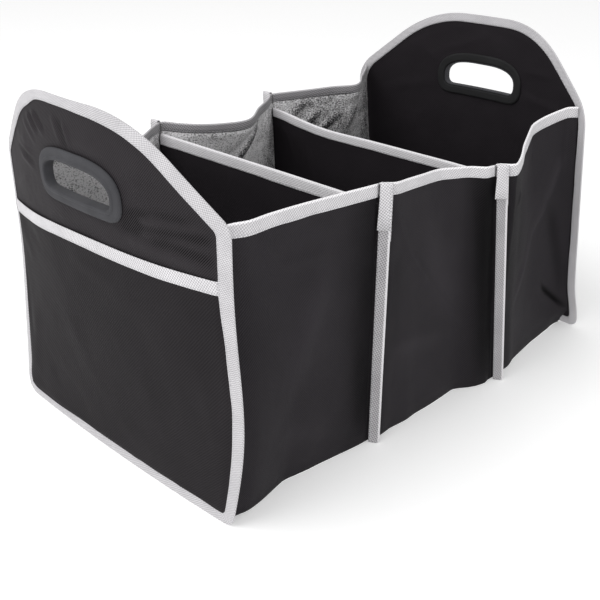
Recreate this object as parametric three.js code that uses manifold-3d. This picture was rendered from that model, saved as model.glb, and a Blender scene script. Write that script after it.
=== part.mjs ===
// Collapsible trunk organizer: two tall end panels with grip rings, two dividers and soft side walls,
// all of non-woven cloth over card and bound with folded tape. Millimetres, X along the length, Z up.
import * as THREE from 'three';
import { mergeVertices } from 'three/addons/utils/BufferGeometryUtils.js';
import Module from 'manifold-3d';

// Materials of the build
const clothThickness = 0.5;
const cardThickness = 1.6;
const boardThickness = 3;
const tapeThickness = 0.5;
const tapeWidth = 11;           // how far the folded tape reaches over the edge of an end panel
const rimTapeWidth = 13;        // and over the thinner edge of a side wall
const innerTapeWidth = 10;      // and on the inside of a rim and on a divider
const seat = 0.3;               // clearance between flat pieces that lie on each other
const snug = 0.4;               // clearance of tape folded round a curved edge

// End panels
const baseLength = 557;         // from one end panel to the other at the floor
const panelWidth = 340;
const shoulderHeight = 277;
const peakHeight = 355;
const crownHalfWidth = 80;      // to where the slope and the flat crown would meet
const crownRadius = 50;         // straight length that each rounded crown corner takes up
const bowExponent = 2.1;        // a card bends more towards its edges than in its middle
const nearEnd = { side: -1, floorBow: 5, peakBow: 34.5, lean: -10, flare: 6, gripY: -3, frontRim: 277.5, backRim: 272,
  frontFootRadius: 10, backFootRadius: 22, shoulderRadius: 10,
  frontSway: { most: 14.5, height: 95, spread: 88 }, backSway: { most: -6, height: 175, spread: 70 } };
const farEnd = { side: 1, floorBow: 2, peakBow: 49, lean: -40, flare: 0, gripY: 0, frontRim: 280, backRim: 280,
  frontFootRadius: 10, backFootRadius: 22, shoulderRadius: 22,
  frontSway: { most: 5.5, height: 12, spread: 28 }, backSway: { most: 0, height: 175, spread: 70 } };
const flareHeight = 45;         // how fast the flare of a foot dies out

// Grip rings
const gripHalfWidth = 51;
const gripTop = peakHeight - 57.5;
const gripBottom = gripTop - 29.5;
const gripFootRadius = 9;
const gripShoulder = 18;        // where the hole's round crown begins, below its top
const gripCrownHalfWidth = 10;  // where it becomes flat
const flangeWidth = 11.5;
const flangeThickness = 2.2;
const collarThickness = 1.6;
const ringRound = 1.1;

// Front pocket
const pocketHeight = gripBottom - 35.5;     // at its front half
const pocketSag = 9.5;          // how much lower the pocket's edge is at the back
const pocketSagStart = 0.4;     // the share of the panel's width where it begins to sink

// Dividers and rims
const dividerHeight = 250;
const nearDivider = { topX: -89, floorX: -96, front: [162, 165], back: [165, 166], frontRim: 270, backRim: 264, sag: 0, frontSkew: [0, 0] };
const farDivider = { topX: 87, floorX: 98, front: [169, 178], back: [169, 168], frontRim: 251, backRim: 266, sag: 10.5, frontSkew: [-4.4, -1] };
const sagStart = 0.9;           // shares of a divider's half width between which its top edge sinks, at the back only
const sagEnd = 0.45;
const frontFinLean = 0.55;      // how far a seam leans towards the far end for each millimetre it stands out
const backFinLean = -0.05;
const finReach = 12.2;          // how far a bound seam stands out of the wall
const tabLength = 42;
const boardClearance = 3;

// Folds of the side walls: each is a share of the way along, its depth at the rim and its depth at the floor,
// inwards positive, and how much further in it goes at its very foot. Below foldStart, a share of the height,
// only the floor's line counts.
const frontFolds = [
  { foldStart: 0, folds: [[0, 0, 0], [0.04, 0, -1], [0.14, -3, -3], [0.22, -1.5, -1.5], [0.3, 0, 2], [0.43, 1, 7.5], [0.56, 1.5, 5], [0.75, 1, 2],
    [0.97, 0, 0], [1, 0, 0]] },
  { foldStart: 0, folds: [[0, 0, 0], [0.03, 0, 0], [0.1, -4, 0], [0.24, 1, 0], [0.4, 7, 4], [0.62, 14.5, 9], [0.74, 11, 9], [0.83, 8.5, 4],
    [0.93, -1, -1], [0.98, 0, 0], [1, 0, 0]] },
  { foldStart: 0, folds: [[0, 0, 0], [0.015, 0, 0], [0.065, -15, -1], [0.09, -16, -1], [0.18, -10.5, 0], [0.31, 0.3, 4], [0.43, 9, 6.5],
    [0.545, 16.2, 8.5], [0.62, 20, 10], [0.7, 20.2, 10.5], [0.86, 15.3, 10, 3], [0.96, 10.3, 6, 7], [1, 0, 0, 11]] },
];
const backFolds = [
  { foldStart: 0.42, folds: [[0, 0, 0], [0.03, 3, 0], [0.25, 30, 2], [0.5, 58, 3], [0.6, 54, 2], [0.75, 33, 1], [0.97, 3, 0], [1, 0, 0]] },
  { foldStart: 0.42, folds: [[0, 0, 0], [0.02, 1, 0], [0.07, 20, 0], [0.15, 40, 1], [0.26, 55, 2], [0.41, 65, 3], [0.7, 34, 2], [0.93, 9, 0],
    [0.98, 1, 0], [1, 0, 0]] },
  { foldStart: 0.42, folds: [[0, 0, 0], [0.02, 1, 0], [0.1, 9, 0], [0.25, 24, 1], [0.4, 38, 2], [0.54, 55, 3], [0.75, 32, 2], [0.95, 8, 0],
    [1, 0, 0]] },
];

// Fineness of the model
const panelColumns = 10;
const upperPanelRows = 4;
const gridMargin = 8;           // how far the panels' grid of points goes past their edges
const wallLevels = [0, 0.09, 0.26, 0.42, 0.7, 1];

// Half thicknesses that follow
const panelHalf = cardThickness / 2 + seat + clothThickness;
const panelTapeHalf = panelHalf + snug + tapeThickness;
const seamHalf = seat / 2 + clothThickness;
const finHalf = seamHalf + seat + tapeThickness;
const floorTop = clothThickness + seat;
const panelFoot = tapeThickness + snug;
const tapedTop = rimTapeWidth + seat + tapeThickness;    // the top of a wall, which its tape keeps upright
const wallTapeHalf = clothThickness / 2 + seat + tapeThickness;
const wallEndGap = 1;
const wallSeamY = panelWidth / 2 - tapeWidth + 1;

const blackCloth = new THREE.MeshStandardMaterial({ color: 0x17171a, roughness: 0.75, metalness: 0 });
const greyCloth = new THREE.MeshStandardMaterial({ color: 0x4c4c4e, roughness: 0.9, metalness: 0 });
const paleTape = new THREE.MeshStandardMaterial({ color: 0xd9d9dc, roughness: 0.8, metalness: 0 });
const greyPlastic = new THREE.MeshStandardMaterial({ color: 0x39393c, roughness: 0.45, metalness: 0 });
const brownCard = new THREE.MeshStandardMaterial({ color: 0x9a7d58, roughness: 0.95, metalness: 0 });

const wasm = await Module();
wasm.setup();

const mix = THREE.MathUtils.lerp;
const spread = (count) => Array.from({ length: count + 1 }, (_, i) => i / count);

// A closed solid between an outer and an inner skin, each a grid of points with the same rows and columns.
// A closed loop joins its last row to its first.
function solidBetween(outer, inner, closedLoop = false) {
  const rows = outer.length;
  const columns = outer[0].length;
  const id = (skin, i, j) => skin * rows * columns + (i % rows) * columns + j;
  const index = [];
  const quad = (a, b, c, d) => index.push(a, b, c, a, c, d);
  const last = columns - 1;
  for (let i = 0; i < (closedLoop ? rows : rows - 1); i++) {
    for (let j = 0; j < last; j++) {
      quad(id(0, i, j), id(0, i + 1, j), id(0, i + 1, j + 1), id(0, i, j + 1));
      quad(id(1, i, j), id(1, i, j + 1), id(1, i + 1, j + 1), id(1, i + 1, j));
    }
    quad(id(0, i, 0), id(1, i, 0), id(1, i + 1, 0), id(0, i + 1, 0));
    quad(id(0, i, last), id(0, i + 1, last), id(1, i + 1, last), id(1, i, last));
  }
  for (let j = 0; j < last && !closedLoop; j++) {
    const end = rows - 1;
    quad(id(0, 0, j), id(0, 0, j + 1), id(1, 0, j + 1), id(1, 0, j));
    quad(id(0, end, j), id(1, end, j), id(1, end, j + 1), id(0, end, j + 1));
  }
  const geometry = new THREE.BufferGeometry();
  const points = [...outer, ...inner].flat(2);
  geometry.setAttribute('position', new THREE.Float32BufferAttribute(points, 3));
  geometry.setIndex(index);
  return facingOut(geometry);
}

// Turns every triangle over if the solid's signed volume is negative.
function facingOut(geometry) {
  const position = geometry.attributes.position;
  const index = geometry.index.array;
  const [a, b, c] = [new THREE.Vector3(), new THREE.Vector3(), new THREE.Vector3()];
  let volume = 0;
  for (let i = 0; i < index.length; i += 3) {
    a.fromBufferAttribute(position, index[i]);
    b.fromBufferAttribute(position, index[i + 1]);
    c.fromBufferAttribute(position, index[i + 2]);
    volume += a.dot(b.cross(c));
  }
  for (let i = 0; i < index.length && volume < 0; i += 3) {
    [index[i], index[i + 1]] = [index[i + 1], index[i]];
  }
  return geometry;
}

function toManifold(geometry) {
  const bare = geometry.clone();
  bare.deleteAttribute('normal');
  bare.deleteAttribute('uv');
  const merged = mergeVertices(bare, 1e-4);
  const vertProperties = new Float32Array(merged.attributes.position.array);
  return new wasm.Manifold(new wasm.Mesh({ numProp: 3, vertProperties, triVerts: new Uint32Array(merged.index.array) }));
}

function toGeometry(manifold) {
  const mesh = manifold.getMesh();
  const geometry = new THREE.BufferGeometry();
  geometry.setAttribute('position', new THREE.Float32BufferAttribute(mesh.vertProperties, 3));
  geometry.setIndex(Array.from(mesh.triVerts));
  return geometry;
}

const organizer = new THREE.Group();

function add(name, geometry, material) {
  geometry.computeVertexNormals();
  const mesh = new THREE.Mesh(geometry, material);
  mesh.name = name;
  organizer.add(mesh);
}

// One half of a rounded outline, from its foot on the centre line to its crown on the centre line.
// Each corner is at [y, z]; its rounding takes up a length before it and a length after it.
function halfOutline(corners) {
  const points = [];
  let from = new THREE.Vector2(...corners[0].at);
  corners.slice(1).forEach(({ at, before, after, divisions, run }, k) => {
    const corner = new THREE.Vector2(...at);
    const start = corner.clone().sub(corner.clone().sub(from).setLength(before));
    points.push(...new THREE.LineCurve(from, start).getPoints(run).slice(0, -1));
    if (k === corners.length - 2) {
      points.push(corner);
      return;
    }
    const next = new THREE.Vector2(...corners[k + 2].at);
    const end = corner.clone().add(next.sub(corner).setLength(after));
    points.push(...new THREE.QuadraticBezierCurve(start, corner, end).getPoints(divisions).slice(0, -1));
    from = end;
  });
  return points;
}

// A whole loop from two halves: up the one and, mirrored, down the other.
function loopOf(half, otherHalf) {
  return [...half, ...otherHalf.slice(1, -1).reverse().map((p) => new THREE.Vector2(-p.x, p.y))];
}

// An end panel's outline, set in from its edge by inset.
function panelLoop(end, inset) {
  const rise = peakHeight - shoulderHeight;
  const run = panelWidth / 2 - crownHalfWidth;
  const slope = Math.hypot(rise, run);
  const side = panelWidth / 2 - inset;
  const top = peakHeight - inset;
  const shoulder = shoulderHeight - (inset * (slope - rise)) / run;
  const crown = side - ((top - shoulder) * run) / rise;
  const rounding = (length) => Math.max(length - inset * 0.5, 1.5);
  const corner = (y, z, length, divisions, run) =>
    ({ at: [y, z], before: rounding(length), after: rounding(length), divisions, run });
  const half = (footRadius) => halfOutline([
    { at: [0, panelFoot + inset] },
    corner(side, panelFoot + inset, footRadius, 4, 1),
    corner(side, shoulder, end.shoulderRadius, 2, 6),
    corner(crown, top, crownRadius, 5, 1),
    { at: [0, top], before: 0, run: 1 },
  ]);
  return loopOf(half(end.backFootRadius), half(end.frontFootRadius));
}

// The grip hole's outline: flat foot, broad round crown, set out from the hole by offset.
function gripLoop(end, offset) {
  const side = gripHalfWidth + offset;
  const foot = gripFootRadius + offset;
  const half = halfOutline([
    { at: [0, gripBottom - offset] },
    { at: [side, gripBottom - offset], before: foot, after: foot, divisions: 3, run: 2 },
    { at: [side, gripTop + offset], before: gripShoulder + offset, after: side - gripCrownHalfWidth, divisions: 5, run: 1 },
    { at: [0, gripTop + offset], before: 0, run: 1 },
  ]);
  return loopOf(half, half).map((p) => new THREE.Vector2(p.x + end.gripY, p.y));
}

const panelGridZ = [-gridMargin, flareHeight / 2,
  ...spread(upperPanelRows).map((v) => mix(1.5 * flareHeight, peakHeight + gridMargin, v))];
const panelGridY = [-panelWidth / 2 - gridMargin, ...spread(panelColumns).map((u) => mix(-1, 1, u) * wallSeamY),
  panelWidth / 2 + gridMargin];

// How far the end panel bows at y, as a share of its middle. It is straight from one grid line to the next, so that
// everything that lies on the panel keeps its clearance.
function bowShare(y) {
  const k = THREE.MathUtils.clamp(panelGridY.filter((line) => line < y).length, 1, panelGridY.length - 1);
  const [a, b] = [panelGridY[k - 1], panelGridY[k]];
  const share = (line) => 1 - Math.abs((2 * line) / panelWidth) ** bowExponent;
  return mix(share(a), share(b), (y - a) / (b - a));
}

// A point of an end panel, n outwards of its middle surface.
function panelPoint(end, y, z, n) {
  const up = z / peakHeight;
  const bow = mix(end.floorBow, end.peakBow, up) * bowShare(y);
  const { most, height, spread: reach } = y < 0 ? end.frontSway : end.backSway;
  const sway = most * THREE.MathUtils.smoothstep(Math.abs(y), 0, panelWidth / 2) * Math.exp(-(((z - height) / reach) ** 2));
  const flare = end.flare * Math.exp(-z / flareHeight);
  return [end.side * (baseLength / 2 + end.lean * up + bow + flare + n), y + Math.sign(y) * sway, z];
}

// A sheet that follows the end panel's curve, from n = low to n = high, before it is cut to shape.
function panelSlab(end, low, high) {
  const skin = (n) => panelGridY.map((y) => panelGridZ.map((z) => panelPoint(end, y, z, n)));
  return toManifold(solidBetween(skin(high), skin(low)));
}

// A prism along X through the whole organizer, with the loop as its section.
function prism(end, loop) {
  const shape = new THREE.Shape(loop.map((p) => new THREE.Vector2(panelPoint(end, p.x, p.y, 0)[1], p.y)));
  const geometry = new THREE.ExtrudeGeometry(shape, { depth: 2 * baseLength, bevelEnabled: false });
  geometry.applyMatrix4(new THREE.Matrix4().set(0, 0, 1, -baseLength, 1, 0, 0, 0, 0, 1, 0, 0, 0, 0, 0, 1));
  return toManifold(geometry);
}

// Tape folded over the edge of a sheet from n = low to n = high: it covers the band, and the sheet fills the core.
function foldedTape(end, low, high, band, core) {
  const outside = panelSlab(end, low - tapeThickness, high + tapeThickness).intersect(band);
  return outside.subtract(panelSlab(end, low, high).intersect(core));
}

function cutPanel(end, low, high, inset, gripOffset) {
  const sheet = panelSlab(end, low, high).intersect(prism(end, panelLoop(end, inset)));
  return sheet.subtract(prism(end, gripLoop(end, gripOffset)));
}

// A moulded ring: its section is given as [offset from the hole, n] along the seen side and along the hidden side.
function gripRing(end, seen, hidden) {
  const skin = (section) => {
    const loops = section.map(([offset]) => gripLoop(end, offset));
    return loops[0].map((_, i) => section.map(([, n], k) => panelPoint(end, loops[k][i].x, loops[k][i].y, n)));
  };
  return solidBetween(skin(seen), skin(hidden), true);
}

function buildEnd(end, label) {
  const gripHole = collarThickness + snug;
  const coverLow = cardThickness / 2 + seat;
  const cardInset = tapeWidth / 2;
  add(`${label}_end_cover`, toGeometry(cutPanel(end, coverLow, panelHalf, 0, gripHole)), blackCloth);
  add(`${label}_end_card`, toGeometry(cutPanel(end, -cardThickness / 2, cardThickness / 2, cardInset, gripHole)), brownCard);
  add(`${label}_end_lining`, toGeometry(cutPanel(end, -panelHalf, -coverLow, 0, gripHole)), blackCloth);
  const band = prism(end, panelLoop(end, -panelFoot)).subtract(prism(end, panelLoop(end, tapeWidth)));
  const core = prism(end, panelLoop(end, -snug));
  add(`${label}_end_tape`, toGeometry(foldedTape(end, -panelHalf - snug, panelHalf + snug, band, core)), paleTape);

  const face = panelHalf + 2 * seat;
  const crown = face + flangeThickness;
  const collarEnd = -(face + flangeThickness * 0.6);
  const w = flangeWidth;
  const c = collarThickness;
  add(`${label}_grip_ring`, gripRing(end,
    [[w, face], [w, crown - ringRound], [w - ringRound, crown], [ringRound, crown], [0, crown - ringRound], [0, collarEnd]],
    [[w - 1, face], [w * 0.75, face], [w * 0.5, face], [w * 0.3, face], [c, face], [c, collarEnd]]), greyPlastic);
  const clipBore = c + seat;
  add(`${label}_grip_clip`, gripRing(end,
    [[w, -face], [w, ringRound - crown], [w - ringRound, -crown], [clipBore + ringRound, -crown], [clipBore, ringRound - crown]],
    [[w - 1, -face], [w * 0.75, -face], [w * 0.55, -face], [w * 0.35, -face], [clipBore, -face]]), greyPlastic);
}

// The height of the pocket's top edge, which sags towards the back of the organizer.
function pocketTop(y) {
  return pocketHeight - pocketSag * THREE.MathUtils.smoothstep(y / panelWidth + 0.5, pocketSagStart, 1);
}

// All of an end panel below the pocket's top edge, raised by lift, and inset from the panel's own edge.
function belowPocketTop(end, lift, inset = tapeWidth + snug) {
  const across = spread(8).map((u) => mix(1, -1, u) * panelWidth);
  const top = across.map((y) => new THREE.Vector2(y, pocketTop(y) + lift));
  const bottom = [-1, 1].map((side) => new THREE.Vector2(side * panelWidth, -peakHeight));
  return prism(end, [...bottom, ...top]).intersect(prism(end, panelLoop(end, inset)));
}

// A patch over the lower part of the near end panel, open along its taped top edge.
function buildPocket(end) {
  const low = panelHalf + 2 * seat + tapeThickness;
  const high = low + clothThickness;
  const edge = -tapeThickness - seat;
  add('pocket_cloth', toGeometry(panelSlab(end, low, high).intersect(belowPocketTop(end, edge))), blackCloth);
  const band = belowPocketTop(end, 0).subtract(belowPocketTop(end, -tapeWidth));
  const core = belowPocketTop(end, edge + seat, tapeWidth / 2);
  add('pocket_tape', toGeometry(foldedTape(end, low - seat, high + seat, band, core)), paleTape);
}

// Where a divider stands at a height and at a share of its half width, negative towards the front,
// and where its seam meets a side wall. Its front may stand askew, by one amount at the top and one at the floor.
function dividerX(divider, z, share) {
  const up = z / dividerHeight;
  const [topSkew, floorSkew] = divider.frontSkew;
  return mix(divider.floorX, divider.topX, up) + mix(floorSkew, topSkew, up) * Math.max(0, -share);
}

// The height of a divider's top edge at a share of its half width, negative towards the front.
function dividerTop(divider, share) {
  return dividerHeight - divider.sag * THREE.MathUtils.smoothstep(-share, -sagStart, -sagEnd);
}

function dividerY(divider, side, z) {
  const [rim, floor] = side < 0 ? divider.front : divider.back;
  return side * mix(floor, rim, z / dividerHeight);
}

const rimAt = (piece, side) => (side < 0 ? piece.frontRim : piece.backRim);

// The end of a wall section against an end panel, just inside the panel's tape.
function endSeam(end, side) {
  return {
    rim: rimAt(end, side),
    at: (z) => panelPoint(end, side * wallSeamY, z, -(panelTapeHalf + wallEndGap)).slice(0, 2),
  };
}

// The end of a wall section against a divider, on the divider's near (-1) or far (+1) face.
function dividerSeam(divider, side, face) {
  return {
    rim: rimAt(divider, side),
    at: (z) => [dividerX(divider, z, side) + face * (seamHalf + snug), dividerY(divider, side, z)],
  };
}

function wallSections(side) {
  const folds = side < 0 ? frontFolds : backFolds;
  const seams = [
    [endSeam(nearEnd, side), dividerSeam(nearDivider, side, -1)],
    [dividerSeam(nearDivider, side, 1), dividerSeam(farDivider, side, -1)],
    [dividerSeam(farDivider, side, 1), endSeam(farEnd, side)],
  ];
  return seams.map(([from, to], i) => ({ side, from, to, ...folds[i] }));
}

// How far a wall section is folded in, at a share of its length and a share of its height.
function foldDepth(section, t, level) {
  const { folds, foldStart } = section;
  const k = Math.max(1, folds.findIndex(([share]) => share >= t - 1e-9));
  const [a, b] = [folds[k - 1], folds[k]];
  const part = (t - a[0]) / (b[0] - a[0]);
  const upper = Math.max(0, (level - foldStart) / (1 - foldStart));
  const foot = mix(a[3] ?? 0, b[3] ?? 0, part) * Math.max(0, 1 - level / wallLevels[1]);
  return mix(mix(a[2], b[2], part), mix(a[1], b[1], part), upper) + foot;
}

const rimHeight = (section, t) => mix(section.from.rim, section.to.rim, t);

function wallPlan(section, t, z) {
  const [ax, ay] = section.from.at(z);
  const [bx, by] = section.to.at(z);
  const depth = foldDepth(section, t, Math.min(1, z / (rimHeight(section, t) - tapedTop)));
  return [mix(ax, bx, t), mix(ay, by, t) - section.side * depth];
}

// A point of a wall section, n outwards of its middle surface.
function wallPoint(section, t, z, n) {
  const step = 0.004;
  const [x, y] = wallPlan(section, t, z);
  const [ax, ay] = wallPlan(section, Math.max(0, t - step), z);
  const [bx, by] = wallPlan(section, Math.min(1, t + step), z);
  const length = Math.hypot(bx - ax, by - ay);
  const outX = (-section.side * (by - ay)) / length;
  const outY = (section.side * (bx - ax)) / length;
  return [x + n * outX, y + n * outY, z];
}

function buildWalls(side, label) {
  wallSections(side).forEach((section, i) => {
    const stations = section.folds.map(([share]) => share);
    const half = clothThickness / 2;
    const skin = (n) => stations.map((t) => {
      const rim = rimHeight(section, t);
      const heights = wallLevels.map((level) => level * (rim - tapedTop));
      return [...heights, rim - tapeThickness - seat].map((z) => wallPoint(section, t, z, n));
    });
    add(`${label}_wall_${i + 1}`, solidBetween(skin(half), skin(-half)), side < 0 ? blackCloth : greyCloth);

    const tapeSkin = (gap, lift) => stations.map((t) => {
      const top = rimHeight(section, t) - tapeThickness - seat;
      return [[top - rimTapeWidth, half + gap], [top, half + gap], [top + lift, (half + gap) / 2],
        [top + lift, -(half + gap) / 2], [top, -(half + gap)], [top - innerTapeWidth, -(half + gap)],
      ].map(([z, n]) => wallPoint(section, t, z, n));
    });
    add(`${label}_rim_tape_${i + 1}`,
      solidBetween(tapeSkin(seat + tapeThickness, seat + tapeThickness), tapeSkin(seat, seat)), paleTape);
  });
}

// A point of the seam that stands out of a side wall at a divider: its root is just outside the wall's tape.
function finPoint(divider, side, z, out, across) {
  const lean = Math.atan(side < 0 ? frontFinLean : backFinLean);
  const x = dividerX(divider, z, side) + out * Math.sin(lean) + across * Math.cos(lean);
  const root = dividerY(divider, side, z) + side * (wallTapeHalf + seat);
  return [x, root + side * (out * Math.cos(lean) - across * Math.sin(lean)), z];
}

// The bound seam that stands out of a side wall where a divider is sewn in, and the tab folded over its top.
function buildFin(divider, side, label) {
  const top = rimAt(divider, side);
  const lean = Math.abs(side < 0 ? frontFinLean : backFinLean);
  const root = finHalf * lean + seat;
  const skin = (half, reach) => spread(4).map((v) =>
    [[root, half], [reach - half * 0.5, half], [reach, half * 0.4], [reach, -half * 0.4], [reach - half * 0.5, -half], [root, -half]]
      .map(([out, across]) => finPoint(divider, side, top * v, out, across)));
  add(`${label}_seam_tape`, solidBetween(skin(finHalf, finReach), skin(seamHalf + seat, finReach - tapeThickness)), paleTape);

  const inner = finHalf + seat;
  const outer = inner + tapeThickness;
  const start = outer * lean + seat;
  const tabSkin = (half, crest) => [start, finReach + seat].map((out) => [
    [top - tabLength, half], [top + seat, half], [top + crest, half * 0.5], [top + crest, -half * 0.5], [top + seat, -half],
    [top - tabLength * 0.8, -half]].map(([z, across]) => finPoint(divider, side, z, out, across)));
  add(`${label}_seam_tab`, solidBetween(tabSkin(outer, 2 * seat + tapeThickness), tabSkin(inner, 2 * seat)), paleTape);
}

// Cloth sleeve round a card, sewn into both side walls, with tape along its top edge.
function buildDivider(divider, label) {
  const body = cardThickness / 2 + seat + clothThickness;
  const taper = 9;
  const shares = [-0.93, 0, sagEnd, (sagStart + sagEnd) / 2, sagStart, 0.93];
  const inside = (share, half, inset = 0) => ({ half, top: dividerTop(divider, share) - inset, at: (z, across) =>
    [dividerX(divider, z, share) + across, Math.abs(share) * dividerY(divider, Math.sign(share), z), z] });
  const atSeam = (side) => {
    const rim = rimAt(divider, side) - seat;
    const wall = (out, top) => ({ top, half: seamHalf, at: (z, across) =>
      [dividerX(divider, z, side) + across, dividerY(divider, side, z) + side * out, z] });
    return [
      { top: rim, half: seamHalf, at: (z, across) => finPoint(divider, side, z, finReach - tapeThickness - snug, across) },
      wall(wallTapeHalf, rim),
      wall(-wallTapeHalf - seat, dividerTop(divider, side)),
    ];
  };
  const sleeve = [...atSeam(-1), ...shares.map((share) => inside(share, body)), ...atSeam(1).reverse()];
  const skin = (inwards) => sleeve.map(({ top, half, at }) => {
    const side = half - inwards;
    const bottom = floorTop + inwards;
    return [at(top, -side), at(bottom, -side), at(bottom, side), at(top, side)];
  });
  add(`${label}_divider_cloth`, solidBetween(skin(0), skin(clothThickness)), blackCloth);

  const cardShares = [-0.91, ...shares.slice(1, -1), 0.91];
  const cardSkin = (half) => cardShares.map((share) => inside(share, half, snug)).map(({ at, top }) =>
    [at(floorTop + clothThickness + seat, half), at(top, half)]);
  add(`${label}_divider_card`, solidBetween(cardSkin(cardThickness / 2), cardSkin(-cardThickness / 2)), brownCard);

  const tapeSkin = (gap, lift) => shares.map((share) => {
    const { at, top } = inside(share, body);
    const half = body + gap;
    return [[-innerTapeWidth, half], [seat, half], [lift, half * 0.5], [lift, -half * 0.5], [seat, -half], [-innerTapeWidth, -half]]
      .map(([rise, across]) => at(top + rise, across));
  });
  add(`${label}_divider_tape`,
    solidBetween(tapeSkin(seat + tapeThickness, 2 * seat + tapeThickness), tapeSkin(seat, 2 * seat)), paleTape);
}

// The cloth floor, sewn in between the walls and the end panels.
function buildFloor() {
  const front = wallSections(-1);
  const back = wallSections(1);
  const inside = clothThickness / 2 + snug;
  const rows = [0, 1, 2].flatMap((k) => {
    const shares = [...front[k].folds, ...back[k].folds].map(([share]) => share);
    return [...new Set(shares)].sort((a, b) => a - b).map((t) =>
      [wallPoint(front[k], t, 0, -inside), wallPoint(back[k], t, 0, -inside)]);
  });
  const skin = (z) => rows.map(([a, b]) => [a, b].map(([x, y]) => [x, y, z]));
  add('floor_cloth', solidBetween(skin(clothThickness), skin(0)), blackCloth);
}

// Loose stiff boards that lie on the cloth floor, one to a compartment.
function buildBoards() {
  const deepestFold = Math.max(...frontFolds.flatMap(({ folds }) => folds.map(([, , depth, foot = 0]) => depth + foot)));
  const halfWidth = Math.min(nearDivider.front[1], wallSeamY) - deepestFold;
  const cornerRadius = 8;
  const dividerHalf = cardThickness / 2 + seat + clothThickness;
  const endInside = baseLength / 2 - panelTapeHalf - boardClearance;
  const walls = [
    [-endInside, dividerX(nearDivider, 0, 0) - dividerHalf - boardClearance],
    [dividerX(nearDivider, 0, 0) + dividerHalf + boardClearance, dividerX(farDivider, 0, -1) - dividerHalf - boardClearance],
    [dividerX(farDivider, 0, 0) + dividerHalf + boardClearance, endInside],
  ];
  walls.forEach(([low, high], i) => {
    const shape = new THREE.Shape();
    const r = cornerRadius;
    shape.moveTo(low + r, -halfWidth);
    shape.lineTo(high - r, -halfWidth);
    shape.absarc(high - r, r - halfWidth, r, -Math.PI / 2, 0);
    shape.lineTo(high, halfWidth - r);
    shape.absarc(high - r, halfWidth - r, r, 0, Math.PI / 2);
    shape.lineTo(low + r, halfWidth);
    shape.absarc(low + r, halfWidth - r, r, Math.PI / 2, Math.PI);
    shape.lineTo(low, r - halfWidth);
    shape.absarc(low + r, r - halfWidth, r, Math.PI, 1.5 * Math.PI);
    const geometry = new THREE.ExtrudeGeometry(shape, { depth: boardThickness, bevelEnabled: false, curveSegments: 2 });
    geometry.translate(0, 0, floorTop);
    add(`base_board_${i + 1}`, geometry, blackCloth);
  });
}

buildEnd(nearEnd, 'near');
buildEnd(farEnd, 'far');
buildPocket(nearEnd);
buildWalls(-1, 'front');
buildWalls(1, 'back');
buildFin(nearDivider, -1, 'front_near');
buildFin(farDivider, -1, 'front_far');
buildFin(nearDivider, 1, 'back_near');
buildFin(farDivider, 1, 'back_far');
buildDivider(nearDivider, 'near');
buildDivider(farDivider, 'far');
buildFloor();
buildBoards();

// The origin is the middle of the organizer's footprint, on the surface that it stands on.
const bounds = new THREE.Box3().setFromObject(organizer);
const middle = bounds.getCenter(new THREE.Vector3());
organizer.position.set(-middle.x, -middle.y, -bounds.min.z);

export default organizer;
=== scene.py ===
import bpy
import numpy as np
from mathutils import Matrix, Vector


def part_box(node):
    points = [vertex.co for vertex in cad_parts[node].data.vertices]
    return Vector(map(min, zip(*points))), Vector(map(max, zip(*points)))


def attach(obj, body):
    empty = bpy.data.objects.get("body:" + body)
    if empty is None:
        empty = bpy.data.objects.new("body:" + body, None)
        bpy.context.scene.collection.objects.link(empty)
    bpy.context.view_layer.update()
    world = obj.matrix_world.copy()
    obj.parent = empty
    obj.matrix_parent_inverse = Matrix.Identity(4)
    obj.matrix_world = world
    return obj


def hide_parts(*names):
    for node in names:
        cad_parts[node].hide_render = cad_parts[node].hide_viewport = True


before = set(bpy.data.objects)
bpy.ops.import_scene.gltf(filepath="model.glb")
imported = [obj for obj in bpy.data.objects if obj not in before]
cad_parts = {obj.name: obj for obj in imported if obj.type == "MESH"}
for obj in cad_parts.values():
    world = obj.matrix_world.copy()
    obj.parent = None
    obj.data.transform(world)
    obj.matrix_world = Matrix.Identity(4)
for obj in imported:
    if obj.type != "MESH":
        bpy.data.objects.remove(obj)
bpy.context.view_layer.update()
print("frame loaded:", len(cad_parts), "nodes")

mm = 0.001

# the whole bag, as the model has it
bag = {
    "baseLength": 557, "panelWidth": 340, "shoulderHeight": 277, "peakHeight": 355,
    "crownHalfWidth": 80, "crownRadius": 50, "bowExponent": 2.1,
    "flareHeight": 45, "foot": 0.9, "wallSeam": 160, "dividerHeight": 250,
}
nearEnd = {
    "side": -1, "floorBow": 5, "peakBow": 34.5, "lean": -10, "flare": 6, "gripY": -0.8,
    "frontRim": 277.5, "backRim": 272, "frontFoot": 10, "backFoot": 22, "shoulder": 10,
    "frontSway": (14.5, 95, 88), "backSway": (-6, 175, 70),  # the most, the height of it, how far it reaches
}
farEnd = {
    "side": 1, "floorBow": 2, "peakBow": 49, "lean": -40, "flare": 0, "gripY": 0,
    "frontRim": 280, "backRim": 280, "frontFoot": 10, "backFoot": 22, "shoulder": 22,
    "frontSway": (5.5, 12, 28), "backSway": (0, 175, 70),
}
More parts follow.
